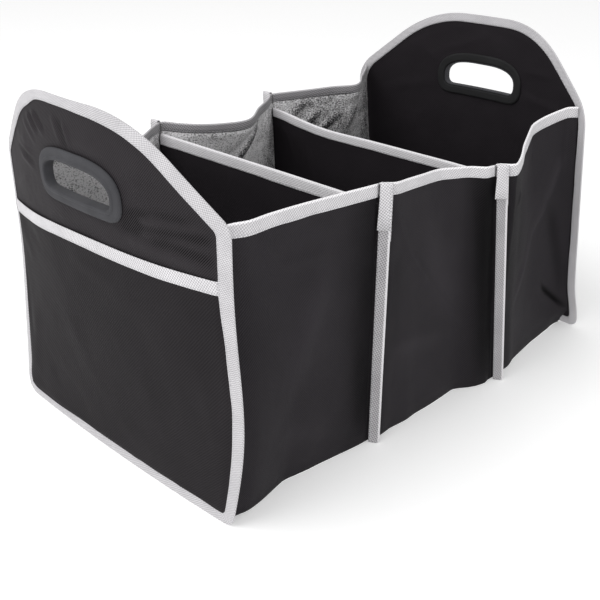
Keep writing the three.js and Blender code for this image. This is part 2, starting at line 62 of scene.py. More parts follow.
# a divider's seams stand this far in front of and behind the middle line, (at the rim, at the floor); its front may
# stand askew, (at the top, at the floor); its top edge is [share of the half width, height], from front to back
nearDivider = {
    "label": "near", "topX": -89, "floorX": -96, "front": (162, 165), "back": (165, 166),
    "frontRim": 270, "backRim": 264, "frontSkew": (0, -1.3),
    "edge": [(-1, 250.6), (-0.2, 250.9), (0.5, 250.7), (1, 250.4)],
}
farDivider = {
    "label": "far", "topX": 87, "floorX": 98, "front": (169, 178), "back": (169, 168),
    "frontRim": 251, "backRim": 266, "frontSkew": (-4.4, -1),
    "edge": [(-1, 240), (-0.76, 240), (-0.23, 239.2), (0.065, 238.6), (0.38, 237.8), (0.54, 238.9), (0.71, 242.2),
             (0.88, 246.1), (1, 248)],
}

# the model is centred on its footprint: the middle base board says how far the layout was moved
boardClearance = 1.6 + 3  # from a divider's middle to a base board: half the divider, and the gap
boardLow, boardHigh = (np.array(corner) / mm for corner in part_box("base_board_2"))
moved = np.array([boardLow[0] - (nearDivider["floorX"] + boardClearance), (boardLow[1] + boardHigh[1]) / 2, 0])


def smooth(x, low, high):
    # 0 below low, 1 above high, and 3t² − 2t³ between them
    t = np.clip((x - low) / (high - low), 0, 1)
    return t * t * (3 - 2 * t)


def mix(a, b, t):
    # a where t is 0, b where it is 1
    return a + (b - a) * t


lattice = 97  # seeded heights a side, before they repeat


def lumps(x, y, size, seed):
    # value noise from −1 to 1: seeded heights on a square lattice, blended by 3t² − 2t³
    heights = np.random.default_rng(seed).uniform(-1, 1, (lattice, lattice))
    u, v = np.asarray(x) / size, np.asarray(y) / size
    i, j = np.floor(u).astype(int), np.floor(v).astype(int)
    s, t = smooth(u - i, 0, 1), smooth(v - j, 0, 1)
    i, j, after, beyond = i % lattice, j % lattice, (i + 1) % lattice, (j + 1) % lattice
    near = mix(heights[i, j], heights[after, j], s)
    far = mix(heights[i, beyond], heights[after, beyond], s)
    return mix(near, far, t)


def creases(x, y, marks):
    # each mark is a ridge from one point to another: height · exp(−(across/width)²), tapering at both ends
    total = np.zeros(np.broadcast(x, y).shape)
    for x0, y0, x1, y1, width, height in marks:
        length = np.hypot(x1 - x0, y1 - y0)
        ax, ay = (x1 - x0) / length, (y1 - y0) / length
        along = ((x - x0) * ax + (y - y0) * ay) / length
        across = (x - x0) * -ay + (y - y0) * ax
        taper = smooth(along, -0.12, 0.3) * (1 - smooth(along, 0.6, 1.15))
        total += height * taper * np.exp(-((across / width) ** 2))
    return total


def curveThrough(stations, t):
    # a cubic through the stations that never overshoots them (slopes are harmonic means of the two sides)
    x, y = np.array(stations, float).T
    step, rise = np.diff(x), np.diff(y)
    slope = rise / step
    same = slope[:-1] * slope[1:] > 0
    inner = np.where(same, 2 * slope[:-1] * slope[1:] / np.where(same, slope[:-1] + slope[1:], 1), 0)
    tangent = np.concatenate([[slope[0]], inner, [slope[-1]]])
    k = np.clip(np.searchsorted(x, t, side="right") - 1, 0, len(x) - 2)
    u = (t - x[k]) / step[k]
    return (y[k] * (1 + 2 * u) * (1 - u) ** 2 + y[k + 1] * u * u * (3 - 2 * u)
            + step[k] * tangent[k] * u * (1 - u) ** 2 + step[k] * tangent[k + 1] * u * u * (u - 1))


def span(low, high, step):
    # even steps from low to high, each about this long
    return np.linspace(low, high, max(2, int(round(abs(high - low) / step)) + 1))


def unit(v):
    # each vector at length 1
    return v / np.maximum(np.linalg.norm(v, axis=-1, keepdims=True), 1e-12)


def addMesh(name, points, faces, material, uv=None, thickness=None, replaces=(), slot=None, shade=None, backing=None):
    # points in layout millimetres, faces as an (n, 4) array of corners, uv per corner in metres; shade is the painted
    # shade (above 0) and painted highlight (below 0) of the cloth at each point, and backing is the finish of a
    # sheet's other face
    me = bpy.data.meshes.new(name)
    place = (points.reshape(-1, 3) + moved) * mm
    me.vertices.add(len(place))
    me.vertices.foreach_set("co", place.astype(np.float32).ravel())
    me.loops.add(faces.size)
    me.loops.foreach_set("vertex_index", faces.astype(np.int32).ravel())
    me.polygons.add(len(faces))
    me.polygons.foreach_set("loop_start", np.arange(0, faces.size, 4, dtype=np.int32))
    me.update(calc_edges=True)
    me.polygons.foreach_set("use_smooth", np.full(len(faces), True))
    if uv is not None:
        layer = me.uv_layers.new(name="cloth")
        layer.data.foreach_set("uv", uv.astype(np.float32).ravel())
    if shade is not None:
        layer = me.attributes.new("shade", "FLOAT", "POINT")
        layer.data.foreach_set("value", np.asarray(shade, np.float32))
    me.validate()
    me.materials.append(material)
    piece = bpy.data.objects.new(name, me)
    bpy.context.collection.objects.link(piece)
    if thickness:
        wall = piece.modifiers.new("thickness", "SOLIDIFY")
        wall.thickness, wall.offset = thickness * mm, 0
        if backing:
            me.materials.append(backing)
            wall.material_offset = 1
    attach(piece, "root")
    if replaces:
        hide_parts(*replaces)
    return piece


def gridFaces(rows, columns, closedRows=False, closedColumns=False):
    # the quads of a rows × columns grid, each with its corners' grid places
    i, j = np.meshgrid(np.arange(rows if closedRows else rows - 1),
                       np.arange(columns if closedColumns else columns - 1), indexing="ij")
    i, j = i.ravel(), j.ravel()
    corners = np.stack([np.stack([i, j], 1), np.stack([i + 1, j], 1), np.stack([i + 1, j + 1], 1),
                        np.stack([i, j + 1], 1)], 1)
    faces = (corners[..., 0] % rows) * columns + corners[..., 1] % columns
    return faces, corners


def addGrid(name, points, material, uv=None, closedRows=False, closedColumns=False, keep=None, flip=False,
            shade=None, **options):
    # a surface from a rows × columns × 3 array; uv has the same rows and columns, plus one where closed; keep says
    # which points stay
    rows, columns = points.shape[:2]
    faces, corners = gridFaces(rows, columns, closedRows, closedColumns)
    if uv is None:
        uv = lengthMap(points, closedRows, closedColumns)
    cornerUv = uv[corners[..., 0], corners[..., 1]]
    if keep is not None:
        stays = keep.ravel()[faces].all(axis=1)
        faces, cornerUv = faces[stays], cornerUv[stays]
    if flip:
        faces, cornerUv = faces[:, ::-1], cornerUv[:, ::-1]
    used, index = np.unique(faces, return_inverse=True)
    if shade is not None:
        options["shade"] = np.broadcast_to(shade, (rows, columns)).ravel()[used]
    return addMesh(name, points.reshape(-1, 3)[used], index.reshape(faces.shape), material, cornerUv, **options)


def lengthMap(points, closedRows=False, closedColumns=False):
    # a map in metres: how far each point is along its row and along its column, on average
    p = points
    if closedRows:
        p = np.concatenate([p, p[:1]], 0)
    if closedColumns:
        p = np.concatenate([p, p[:, :1]], 1)
    down = np.linalg.norm(np.diff(p, axis=0), axis=2).mean(axis=1)
    along = np.linalg.norm(np.diff(p, axis=1), axis=2).mean(axis=0)
    v = np.concatenate([[0], np.cumsum(down)]) * mm
    u = np.concatenate([[0], np.cumsum(along)]) * mm
    return np.stack(np.meshgrid(u, v, indexing="xy"), -1)


def facing(points, closedRows=False, closedColumns=False):
    # the surface's unit normal at each grid point, from its rows crossed with its columns
    def slope(axis, closed):
        if closed:
            return np.roll(points, -1, axis) - np.roll(points, 1, axis)
        return np.gradient(points, axis=axis)
    return unit(np.cross(slope(0, closedRows), slope(1, closedColumns)))


def nodeTree(name, roughness, specular, sheen=0.0):
    # a new material with its own shader, for values that are the same all over
    material = bpy.data.materials.new(name)
    material.use_nodes = True
    tree = material.node_tree
    shader = tree.nodes["Principled BSDF"]
    shader.inputs["Roughness"].default_value = roughness
    shader.inputs["Specular IOR Level"].default_value = specular
    shader.inputs["Sheen Weight"].default_value = sheen
    shader.inputs["Sheen Roughness"].default_value = 0.4
    return material, tree, shader


def link(tree, start, end):
    tree.links.new(start, end)


def mathNode(tree, operation, *values):
    # each value is a number or another node's output
    n = tree.nodes.new("ShaderNodeMath")
    n.operation = operation
    for socket, value in zip(n.inputs, values):
        if isinstance(value, (int, float)):
            socket.default_value = value
        else:
            link(tree, value, socket)
    return n.outputs[0]


def weighted(tree, *terms):
    # the sum of each output times its weight
    total = None
    for output, weight in terms:
        part = mathNode(tree, "MULTIPLY", output, weight)
        total = part if total is None else mathNode(tree, "ADD", total, part)
    return total


def noiseNode(tree, vector, scale, detail=2.0, roughness=0.5, stretch=(1, 1, 1)):
    if stretch != (1, 1, 1):
        m = tree.nodes.new("ShaderNodeMapping")
        m.inputs["Scale"].default_value = stretch
        link(tree, vector, m.inputs["Vector"])
        vector = m.outputs[0]
    n = tree.nodes.new("ShaderNodeTexNoise")
    n.inputs["Scale"].default_value = scale
    n.inputs["Detail"].default_value = detail
    n.inputs["Roughness"].default_value = roughness
    link(tree, vector, n.inputs["Vector"])
    return n.outputs["Fac"]


def ribs(tree, vector, pitch, angle):
    # 1 + half the sine of the distance across ribs at this angle, one rib each pitch (metres)
    m = tree.nodes.new("ShaderNodeMapping")
    m.inputs["Rotation"].default_value = (0, 0, np.radians(angle))
    link(tree, vector, m.inputs["Vector"])
    xyz = tree.nodes.new("ShaderNodeSeparateXYZ")
    link(tree, m.outputs[0], xyz.inputs[0])
    wave = mathNode(tree, "SINE", mathNode(tree, "MULTIPLY", xyz.outputs[0], 2 * np.pi / pitch))
    return mathNode(tree, "MULTIPLY_ADD", wave, 0.5, 1.0)


def ramp(tree, value, stops):
    # a colour for each value: stops are (value, colour), and it blends between them
    n = tree.nodes.new("ShaderNodeValToRGB")
    bar = n.color_ramp
    while len(bar.elements) < len(stops):
        bar.elements.new(0.5)
    for element, (position, colour) in zip(bar.elements, stops):
        element.position = position
        element.color = (*colour, 1)
    link(tree, value, n.inputs["Fac"])
    return n.outputs["Color"]


def bumpNode(tree, height, distance):
    n = tree.nodes.new("ShaderNodeBump")
    n.inputs["Distance"].default_value = distance
    n.inputs["Strength"].default_value = 1.0
    link(tree, height, n.inputs["Height"])
    return n.outputs["Normal"]


def shadeMap(tree):
    # the painted shade (above 0) and painted highlight (below 0) that a mesh carries at its points
    n = tree.nodes.new("ShaderNodeAttribute")
    n.attribute_name = "shade"
    return n.outputs["Fac"]


def clothMap(tree):
    # the piece's own map, in metres along and across the cloth
    n = tree.nodes.new("ShaderNodeUVMap")
    n.uv_map = "cloth"
    return n.outputs["UV"]


def dress(tree, shader, colour, height, relief):
    # the colour of a finish, and its relief as a bump (metres)
    link(tree, colour, shader.inputs["Base Color"])
    link(tree, bumpNode(tree, height, relief), shader.inputs["Normal"])


def wovenBlack(name, dark, light, pitch=0.0021, angle=-42, twill=0.5, relief=0.00014, sheen=0.015, roughness=0.6,
               low=0.25):
    # non-woven cloth with a fine embossed twill: ribs, loose fibres, and a cloudy fade where it was handled
    material, tree, shader = nodeTree(name, roughness, 0.05, sheen)
    uv = clothMap(tree)
    wave = ribs(tree, uv, pitch, angle)
    fibres = noiseNode(tree, uv, 1100, 3, 0.65)
    cloud = noiseNode(tree, uv, 14, 4, 0.55)
    # the shade attribute darkens or lightens the grain: painted shade and painted highlight
    grain = weighted(tree, (wave, twill), (fibres, 0.95 - twill), (cloud, 0.3), (shadeMap(tree), -0.42))
    height = weighted(tree, (wave, 0.75), (fibres, 0.6))
    dress(tree, shader, ramp(tree, grain, [(low, dark), (0.95, light)]), height, relief)
    return material


def heatherGrey(name):
    # salt-and-pepper backing: pale and dark fibres a millimetre or two long, clumped into paler and darker clouds
    material, tree, shader = nodeTree(name, 0.9, 0.15, 0.15)
    uv = clothMap(tree)
    fibres = noiseNode(tree, uv, 620, 3, 0.75, (1, 0.8, 1))
    clumps = noiseNode(tree, uv, 95, 3, 0.6)
    cloud = noiseNode(tree, uv, 17, 3, 0.6, (1, 0.5, 1))
    # the shade attribute darkens or lightens the fibres: painted shade and painted highlight
    value = weighted(tree, (fibres, 1.8), (clumps, 0.55), (cloud, 0.4), (shadeMap(tree), -0.24))
    value = mathNode(tree, "SUBTRACT", value, 0.775)
    colour = ramp(tree, value, [(0.22, (0.03, 0.029, 0.031)), (0.38, (0.26, 0.255, 0.26)),
                                (0.5, (0.62, 0.61, 0.62)), (0.64, (0.97, 0.96, 0.97))])
    dress(tree, shader, colour, value, 0.0003)
    return material


def bindingTape(name, dark, light, pitch=0.0022):
    # woven binding: two crossing sets of fine ribs leave rows of small darker dots
    material, tree, shader = nodeTree(name, 0.7, 0.25, 0.2)
    uv = clothMap(tree)
    dots = mathNode(tree, "MULTIPLY", ribs(tree, uv, pitch, 58), ribs(tree, uv, pitch * 0.9, -32))
    fibres = noiseNode(tree, uv, 1300, 2, 0.6)
    cloud = noiseNode(tree, uv, 32, 3, 0.6)
    # the shade attribute lightens the tape's folded edges: painted highlight
    value = weighted(tree, (dots, -0.42), (fibres, 0.38), (cloud, 0.35), (shadeMap(tree), -0.5))
    colour = ramp(tree, mathNode(tree, "ADD", value, 0.42), [(0.2, dark), (0.8, light)])
    dress(tree, shader, colour, weighted(tree, (fibres, 0.5), (dots, -0.8)), 0.00015)
    return material


def objectMap(tree):
    return tree.nodes.new("ShaderNodeTexCoord").outputs["Object"]


def mouldedPlastic(name, dark, light, roughness):
    # fine spark-eroded grain, with a slow change of tone and shine
    material, tree, shader = nodeTree(name, roughness, 0.4)
    place = objectMap(tree)
    grain = noiseNode(tree, place, 1800, 2, 0.6)
    tone = noiseNode(tree, place, 30, 3, 0.5)
    colour = ramp(tree, weighted(tree, (tone, 0.8), (grain, 0.2)), [(0.35, dark), (0.65, light)])
    link(tree, mathNode(tree, "MULTIPLY_ADD", grain, 0.16, roughness - 0.08), shader.inputs["Roughness"])
    dress(tree, shader, colour, grain, 0.00006)
    return material


def greyBoard(name):
    # pressed pulp
    material, tree, shader = nodeTree(name, 0.9, 0.2)
    pulp = noiseNode(tree, objectMap(tree), 700, 4, 0.7)
    dress(tree, shader, ramp(tree, pulp, [(0.3, (0.24, 0.16, 0.09)), (0.7, (0.38, 0.27, 0.17))]), pulp, 0.0001)
    return material


def sewingThread(name, colour):
    # twisted thread, a quarter darker between its plies
    material, tree, shader = nodeTree(name, 0.6, 0.3, 0.2)
    ply = noiseNode(tree, objectMap(tree), 3500, 1, 0.5)
    dress(tree, shader, ramp(tree, ply, [(0.3, tuple(c * 0.75 for c in colour)), (0.7, colour)]), ply, 0.00005)
    return material


finish = {
    "panel": wovenBlack("panelCloth", (0.0014, 0.0011, 0.0014), (0.0345, 0.031, 0.034), pitch=0.0017, twill=0.8,
                        sheen=0.01, low=0.4),
    "pocket": wovenBlack("pocketCloth", (0.0028, 0.0024, 0.0028), (0.0268, 0.0241, 0.0264), twill=0.28,
                         sheen=0.01),
    "wall": wovenBlack("wallCloth", (0.0022, 0.002, 0.0023), (0.0315, 0.0285, 0.0322), angle=40, twill=0.3),
    "inside": wovenBlack("liningCloth", (0.005, 0.0042, 0.005), (0.027, 0.0235, 0.027), relief=0.00006, twill=0.2,
                         roughness=0.7),
    "heather": heatherGrey("heatherBacking"),
    "tape": bindingTape("paleBinding", (0.44, 0.43, 0.445), (0.97, 0.955, 0.975)),
    "panelTape": bindingTape("panelBinding", (0.41, 0.4, 0.415), (0.8, 0.786, 0.805), 0.0017),
    # the pale binding made darker: painted shade for the seams, which stand in the walls' shade
    "seamTape": bindingTape("seamBinding", (0.25, 0.242, 0.253), (0.73, 0.715, 0.733), 0.0023),
    # the pale binding made brighter: painted light, making up for the shade on the dividers' tapes inside the bag
    "innerTape": bindingTape("innerBinding", (0.66, 0.648, 0.665), (0.99, 0.975, 0.995), 0.0023),
    # the pale binding made darker: painted shade for the back rims, which face into the bag
    "backTape": bindingTape("backBinding", (0.17, 0.165, 0.173), (0.58, 0.566, 0.583), 0.0024),
    "grip": mouldedPlastic("greyPlastic", (0.036, 0.036, 0.0405), (0.056, 0.056, 0.062), 0.84),
    # the grip's plastic made darker: painted shade for the clips, which sit in the shade inside the bag
    "clip": mouldedPlastic("shadedGripPlastic", (0.008, 0.008, 0.0085), (0.014, 0.014, 0.015), 0.88),
    "card": greyBoard("liningBoard"),
    "thread": sewingThread("bindingThread", (0.62, 0.62, 0.64)),
}
print("materials ready:", len(finish))


def panelPoint(end, y, z, n):
    # a point of an end panel, n outwards of its middle: lean and bow grow with height, and the bow is deepest in
    # the middle of the width; the side edges sway in and out, and the foot flares
    y, z, n = np.broadcast_arrays(np.asarray(y, float), np.asarray(z, float), np.asarray(n, float))
    up = z / bag["peakHeight"]
    half = bag["panelWidth"] / 2
    bow = mix(end["floorBow"], end["peakBow"], up) * (1 - np.abs(y / half) ** bag["bowExponent"])
    sway = np.zeros(y.shape)
    for (most, height, reach), side in ((end["frontSway"], y < 0), (end["backSway"], y >= 0)):
        sway += side * most * smooth(np.abs(y), 0, half) * np.exp(-(((z - height) / reach) ** 2))
    x = bag["baseLength"] / 2 + end["lean"] * up + bow + end["flare"] * np.exp(-z / bag["flareHeight"]) + n
    return np.stack([end["side"] * x, y + np.sign(y) * sway, z], -1)


def quadratic(a, b, c, count):
    # a curve from a to c that leaves and arrives along the lines to b
    t = np.linspace(0, 1, count, endpoint=False)[:, None]
    return a * (1 - t) ** 2 + 2 * b * t * (1 - t) + c * t * t


def straight(a, b, count):
    # even steps from a up to, but not including, b
    return mix(a, b, np.linspace(0, 1, count, endpoint=False)[:, None])


def halfLoop(corners, counts):
    # from the first corner to the last, each corner between them rounded over the given lengths
    points, start = [], np.array(corners[0][0], float)
    for k, (at, before, after) in enumerate(corners[1:], 1):
        at = np.array(at, float)
        turn = at - unit(at - start) * before
        points.append(straight(start, turn, counts[k - 1][0]))
        if k == len(corners) - 1:
            points.append(at[None])
            break
        onward = np.array(corners[k + 1][0], float)
        end = at + unit(onward - at) * after
        points.append(quadratic(turn, at, end, counts[k - 1][1]))
        start = end
    return np.concatenate(points)


def wholeLoop(half, otherHalf):
    # the back half of an outline from its foot to its top, and the front half, mirrored, down again
    return np.concatenate([half, (otherHalf * [-1, 1])[-2:0:-1]])


def panelLoop(end, inset):
    # an end panel's outline in [y, z], set in from its edge
    rise, run = bag["peakHeight"] - bag["shoulderHeight"], bag["panelWidth"] / 2 - bag["crownHalfWidth"]
    slope = np.hypot(rise, run)
    side, top = bag["panelWidth"] / 2 - inset, bag["peakHeight"] - inset
    shoulder = bag["shoulderHeight"] - inset * (slope - rise) / run
    crown = side - (top - shoulder) * run / rise

    def rounding(length):
        # a corner gets sharper as the outline is set in
        return max(length - inset * 0.5, 1.5)

    def half(foot):
        low = bag["foot"] + inset
        corners = [((0, low), 0, 0), ((side, low), rounding(foot), rounding(foot)),
                   ((side, shoulder), rounding(end["shoulder"]), rounding(end["shoulder"])),
                   ((crown, top), rounding(bag["crownRadius"]), rounding(bag["crownRadius"])), ((0, top), 0, 0)]
        return halfLoop(corners, [(48, 14), (90, 8), (18, 30), (14, 0)])
    return wholeLoop(half(end["backFoot"]), half(end["frontFoot"]))


grip = {
    "halfWidth": 51, "bottom": 268, "top": 297.5, "foot": 9, "shoulder": 18, "crownHalfWidth": 10,
    "flange": 11.5, "thickness": {"near": 3.3, "far": 2.2}, "collar": 1.6, "face": 2.2,
}


def gripLoop(end, offset):
    # the grip hole's outline in [y, z], set out from the hole
    side, foot = grip["halfWidth"] + offset, grip["foot"] + offset
    half = halfLoop([((0, grip["bottom"] - offset), 0, 0), ((side, grip["bottom"] - offset), foot, foot),
                     ((side, grip["top"] + offset), grip["shoulder"] + offset, side - grip["crownHalfWidth"]),
                     ((0, grip["top"] + offset), 0, 0)], [(22, 12), (4, 26), (6, 0)])
    return wholeLoop(half, half) + [end["gripY"], 0]


def insideLoop(loop, y, z):
    # whether each point is inside the closed outline: it crosses an odd number of sides on its way out
    y, z = np.asarray(y)[..., None], np.asarray(z)[..., None]
    a, b = loop, np.roll(loop, -1, 0)
    crosses = (a[:, 1] > z) != (b[:, 1] > z)
    height = np.where(b[:, 1] == a[:, 1], 1e-9, b[:, 1] - a[:, 1])
    at = a[:, 0] + (z - a[:, 1]) * (b[:, 0] - a[:, 0]) / height
    return (crosses & (y < at)).sum(-1) % 2 == 1


def loopDistance(loop, y, z):
    # roughly how far each point is from the nearest corner of a finely drawn outline
    flat = np.stack([np.ravel(y), np.ravel(z)], 1)
    near = [np.sqrt(((part[:, None] - loop[None]) ** 2).sum(-1)).min(1) for part in np.array_split(flat, 24)]
    return np.concatenate(near).reshape(np.shape(y))


def edges(end, inset):
    # the outline as two functions of y: its foot and its top
    loop = panelLoop(end, inset)
    side = bag["panelWidth"] / 2 - inset
    loop = loop[np.abs(loop[:, 0]) < side - 1e-3]
    loop = loop[np.argsort(loop[:, 0])]
    low, high = loop[loop[:, 1] < bag["shoulderHeight"] * 0.4], loop[loop[:, 1] > bag["shoulderHeight"] * 0.6]

    def atFoot(y):
        return np.interp(y, low[:, 0], low[:, 1])

    def atTop(y):
        return np.interp(y, high[:, 0], high[:, 1])
    return side, atFoot, atTop


def panelSheet(end, name, n, inset, holeOffset, step, material, thickness, replaces, slot, relief=None, top=None,
               shadeOf=None):
    # one layer of an end panel: columns run from its foot to its top edge, and the grip hole is left out
    side, atFoot, atTop = edges(end, inset)
    y = span(-side, side, step)
    upper = atTop(y) if top is None else np.minimum(atTop(y), top(y))
    lower = atFoot(y)
    v = span(0, 1, step / (bag["peakHeight"] if top is None else pocket["height"]))
    z = lower[None] + (upper - lower)[None] * v[:, None]
    y = np.broadcast_to(y, z.shape)
    height = n(y, z) if callable(n) else np.full(z.shape, float(n))
    if relief is not None:
        height = height + relief(y, z)
    points = panelPoint(end, y, z, height)
    keep = None
    if holeOffset is not None:
        keep = ~insideLoop(gripLoop(end, holeOffset), y, z)
    uv = np.stack([y, z], -1) * mm
    return addGrid(name, points, material, uv, keep=keep, flip=end["side"] > 0, thickness=thickness,
                   replaces=replaces, slot=slot, shade=None if shadeOf is None else shadeOf(y, z))


def edgeDistance(end, y, z):
    # how far each point of an end panel is from the panel's edge
    side, _, atTop = edges(end, 0)
    run, rise = bag["panelWidth"] / 2 - bag["crownHalfWidth"], bag["peakHeight"] - bag["shoulderHeight"]
    slope = np.hypot(run, rise) / run
    return np.minimum(side - np.abs(y), np.minimum((atTop(y) - z) / slope, z - bag["foot"]))


def pinch(inset, edge, inner):
    # the card stops short of the panel's edge, so the layers close up there: from edge to inner over the last 8 mm
    return mix(edge, inner, smooth(inset, 0, 8))


def calmNearTrim(end, y, z, tape=11.5, soft=5):
    # 0 under the binding and the grip's flange, 1 a little way off, so that a wrinkle dies out there
    fromGrip = loopDistance(gripLoop(end, grip["flange"]), y, z)
    inGrip = insideLoop(gripLoop(end, grip["flange"]), y, z)
    return np.where(inGrip, 0, smooth(fromGrip, -1, soft)) * smooth(edgeDistance(end, y, z), tape, tape + soft)


nearWrinkles = {
    # [y, z] to [y, z], width, height: pulled from the grip and the edge of the near panel
    "marks": [
        (81, 330, 64, 312, 2.5, 1.5), (76, 334, 58, 314, 3, -1.2), (69, 335, 48, 315, 2.5, 1.7),
        (62, 338, 42, 318, 3, -1.0), (94, 322, 70, 302, 3, 1.3), (17, 339, 7, 308, 5, -1.9),
        (9, 335, 1, 311, 3, 1.5), (26, 340, 16, 312, 3.5, 1.0), (116, 289, 80, 281, 3.5, -2.2),
        (116, 294, 80, 287, 3, 1.6), (115, 283, 82, 275, 3, 1.4), (120, 304, 84, 296, 5, 0.9),
        (-52, 268, -102, 276, 5, -1.8), (-98, 276, -138, 275, 5, -1.6), (-56, 265, -90, 259, 5.5, -2.1),
        (-86, 259, -124, 262, 5.5, -2.1), (-118, 262, -156, 264, 5.5, -1.9),
        (-54, 259, -88, 250, 6.5, -2.3), (-84, 250, -117, 252, 6.5, -2.4),
        (-111, 252, -156, 247, 6.5, -2.2), (-78, 266, -119, 270, 4.5, 1.5),
        (-112, 270, -152, 271, 4.5, 1.5), (-78, 255, -116, 257, 4.5, 1.8),
        (-110, 257, -155, 255, 4.5, 1.8), (-62, 250, -108, 242, 7, 1.5), (-100, 243, -148, 238, 7, 1.5),
        (0, 320, -52, 314, 6, 0.7), (100, 262, 150, 240, 6, 0.9),
    ],
    "cloud": 0.55,
}
farWrinkles = {
    "marks": [
        (60, 270, 140, 250, 7, 0.8), (-60, 270, -150, 262, 6, 1.0), (-64, 280, -140, 280, 5, -0.8),
        (20, 262, 60, 160, 10, 0.9), (-20, 262, -70, 180, 9, -0.9), (0, 330, 80, 300, 6, 0.7),
        (-10, 345, -70, 318, 6, -0.8), (100, 320, 60, 290, 6, 0.8), (-110, 300, -60, 300, 5, 0.8),
    ],
    "cloud": 0.7,
}


def wrinkled(end, wrinkles, seed):
    # the wrinkles of one layer of a panel: its marks, and lumps of three sizes
    def relief(y, z):
        field = creases(y, z, wrinkles["marks"])
        field = field + wrinkles["cloud"] * (lumps(y, z, 46, seed) + 0.5 * lumps(y, z, 19, seed + 1))
        field = field + 0.12 * lumps(y, z, 7, seed + 2)
        return field * calmNearTrim(end, y, z)
    return relief


endPanel = {
    "cover": 1.35, "coverEdge": 0.5, "cloth": 0.45, "inset": 1.2, "hole": 4.5, "deepest": -0.35,
    "flat": (0.34, 0.355), "card": 1.6, "cardInset": 5.5, "cardHole": 3.5, "cardStep": 8,
}


def loopArea(loop):
    # half the sum of the cross products of neighbouring corners
    after = np.roll(loop, -1, 0)
    return abs((loop[:, 0] * after[:, 1] - loop[:, 1] * after[:, 0]).sum()) / 2


def buildPanel(end, label, wrinkles, coverStep, liningStep, seed, underPocket=None):
    # cover, card and lining; a wrinkle stands away from the card, never into it, and lies flat under the pocket
    inset, hole = endPanel["inset"], endPanel["hole"]
    outRelief, inRelief = wrinkled(end, wrinkles, seed), wrinkled(end, wrinkles, seed + 40)

    def height(relief, y, z, share=1):
        base = pinch(edgeDistance(end, y, z), endPanel["coverEdge"], endPanel["cover"])
        return base + np.maximum(relief(y, z), endPanel["deepest"]) * share

    def outside(y, z):
        return height(outRelief, y, z, 1 if underPocket is None else smooth(z - underPocket(y), 0, 6))

    def inside(y, z):
        return -height(inRelief, y, z)

    def worn(y, z):
        # painted shade in the wrinkles' hollows and painted highlight on their ridges
        return np.clip(-0.4 * outRelief(y, z), -0.4, 0.8)

    cover = panelSheet(end, label + "Cover", outside, inset, hole, coverStep, finish["panel"], endPanel["cloth"],
                       [label + "_end_cover"], "black_cloth", shadeOf=worn)
    lining = panelSheet(end, label + "Lining", inside, inset, hole, liningStep, finish["inside"], endPanel["cloth"],
                        [label + "_end_lining"], "black_cloth")
    panelSheet(end, label + "Card", 0.0, endPanel["cardInset"], endPanel["cardHole"], endPanel["cardStep"],
               finish["card"], endPanel["card"], [label + "_end_card"], "brown_card")
    area = (loopArea(panelLoop(end, inset)) - loopArea(gripLoop(end, hole))) * mm * mm


stitch = {"pitch": 4.2, "length": 2.7, "radius": 0.28}
stitchInset = 1.6  # from the lower edge of a rim's, pocket's or divider's tape


def addStitches(name, path, normal, closed=False):
    # a row of short thread spindles along a path: each is five rings of four points, closed at both ends
    if closed:
        path = np.concatenate([path, path[:1]])
        normal = np.concatenate([normal, normal[:1]])
    far = np.concatenate([[0], np.cumsum(np.linalg.norm(np.diff(path, axis=0), axis=1))])
    count = max(2, int(far[-1] / stitch["pitch"]))
    middle = (np.arange(count) + 0.5) * far[-1] / count

    def at(d, values):
        return np.stack([np.interp(d, far, values[:, k]) for k in range(3)], -1)
    centre, out = at(middle, path), unit(at(middle, normal))
    along = unit(at(middle + 0.5, path) - at(middle - 0.5, path))
    side = np.cross(along, out)
    place = np.array([-0.5, -0.42, 0.0, 0.42, 0.5]) * stitch["length"]
    thick = np.array([0.25, 0.8, 1.0, 0.8, 0.25]) * stitch["radius"]
    lift = np.array([-0.7, -0.1, 0.3, -0.1, -0.7]) * stitch["radius"]
    angle = np.arange(4) * np.pi / 2 + np.pi / 4
    ring = (thick[:, None, None] * (np.cos(angle)[None, :, None] * side[:, None, None, :]
                                    + np.sin(angle)[None, :, None] * out[:, None, None, :]))
    points = (centre[:, None, None] + place[None, :, None, None] * along[:, None, None]
              + lift[None, :, None, None] * out[:, None, None] + ring)
    quads, _ = gridFaces(5, 4, closedColumns=True)
    caps = np.array([[3, 2, 1, 0], [16, 17, 18, 19]])
    one = np.concatenate([quads[:, ::-1], caps[:, ::-1]])
    faces = (one[None] + np.arange(count)[:, None, None] * 20).reshape(-1, 4)
    addMesh(name, points.reshape(-1, 3), faces, finish["thread"], slot="pale_tape")


binding = {
    "width": 11, "innerWidth": 9.2, "rise": 2.3, "edgeRise": 1.0, "cloth": 0.5, "over": 0.4, "stitch": 1.4,
    # where the tape runs narrower on the near panel's outside: down its front edge and along its foot
    "frontNarrow": 0.16, "footNarrow": 0.3, "topNarrow": 0.32,
}


def tapeWidthShare(end, y, z):
    # 1 where the tape has its full width
    share = np.ones(y.shape)
    if end is nearEnd:
        share -= binding["frontNarrow"] * smooth(-y, 130, 160) * (1 - smooth(z, 165, 225))
        share -= binding["footNarrow"] * smooth(y, 40, 110) * (1 - smooth(z, 8, 40))
        share -= binding["topNarrow"] * smooth(y, -60, 10) * smooth(-y, -80, -50) * smooth(z, 300, 325)
    return share


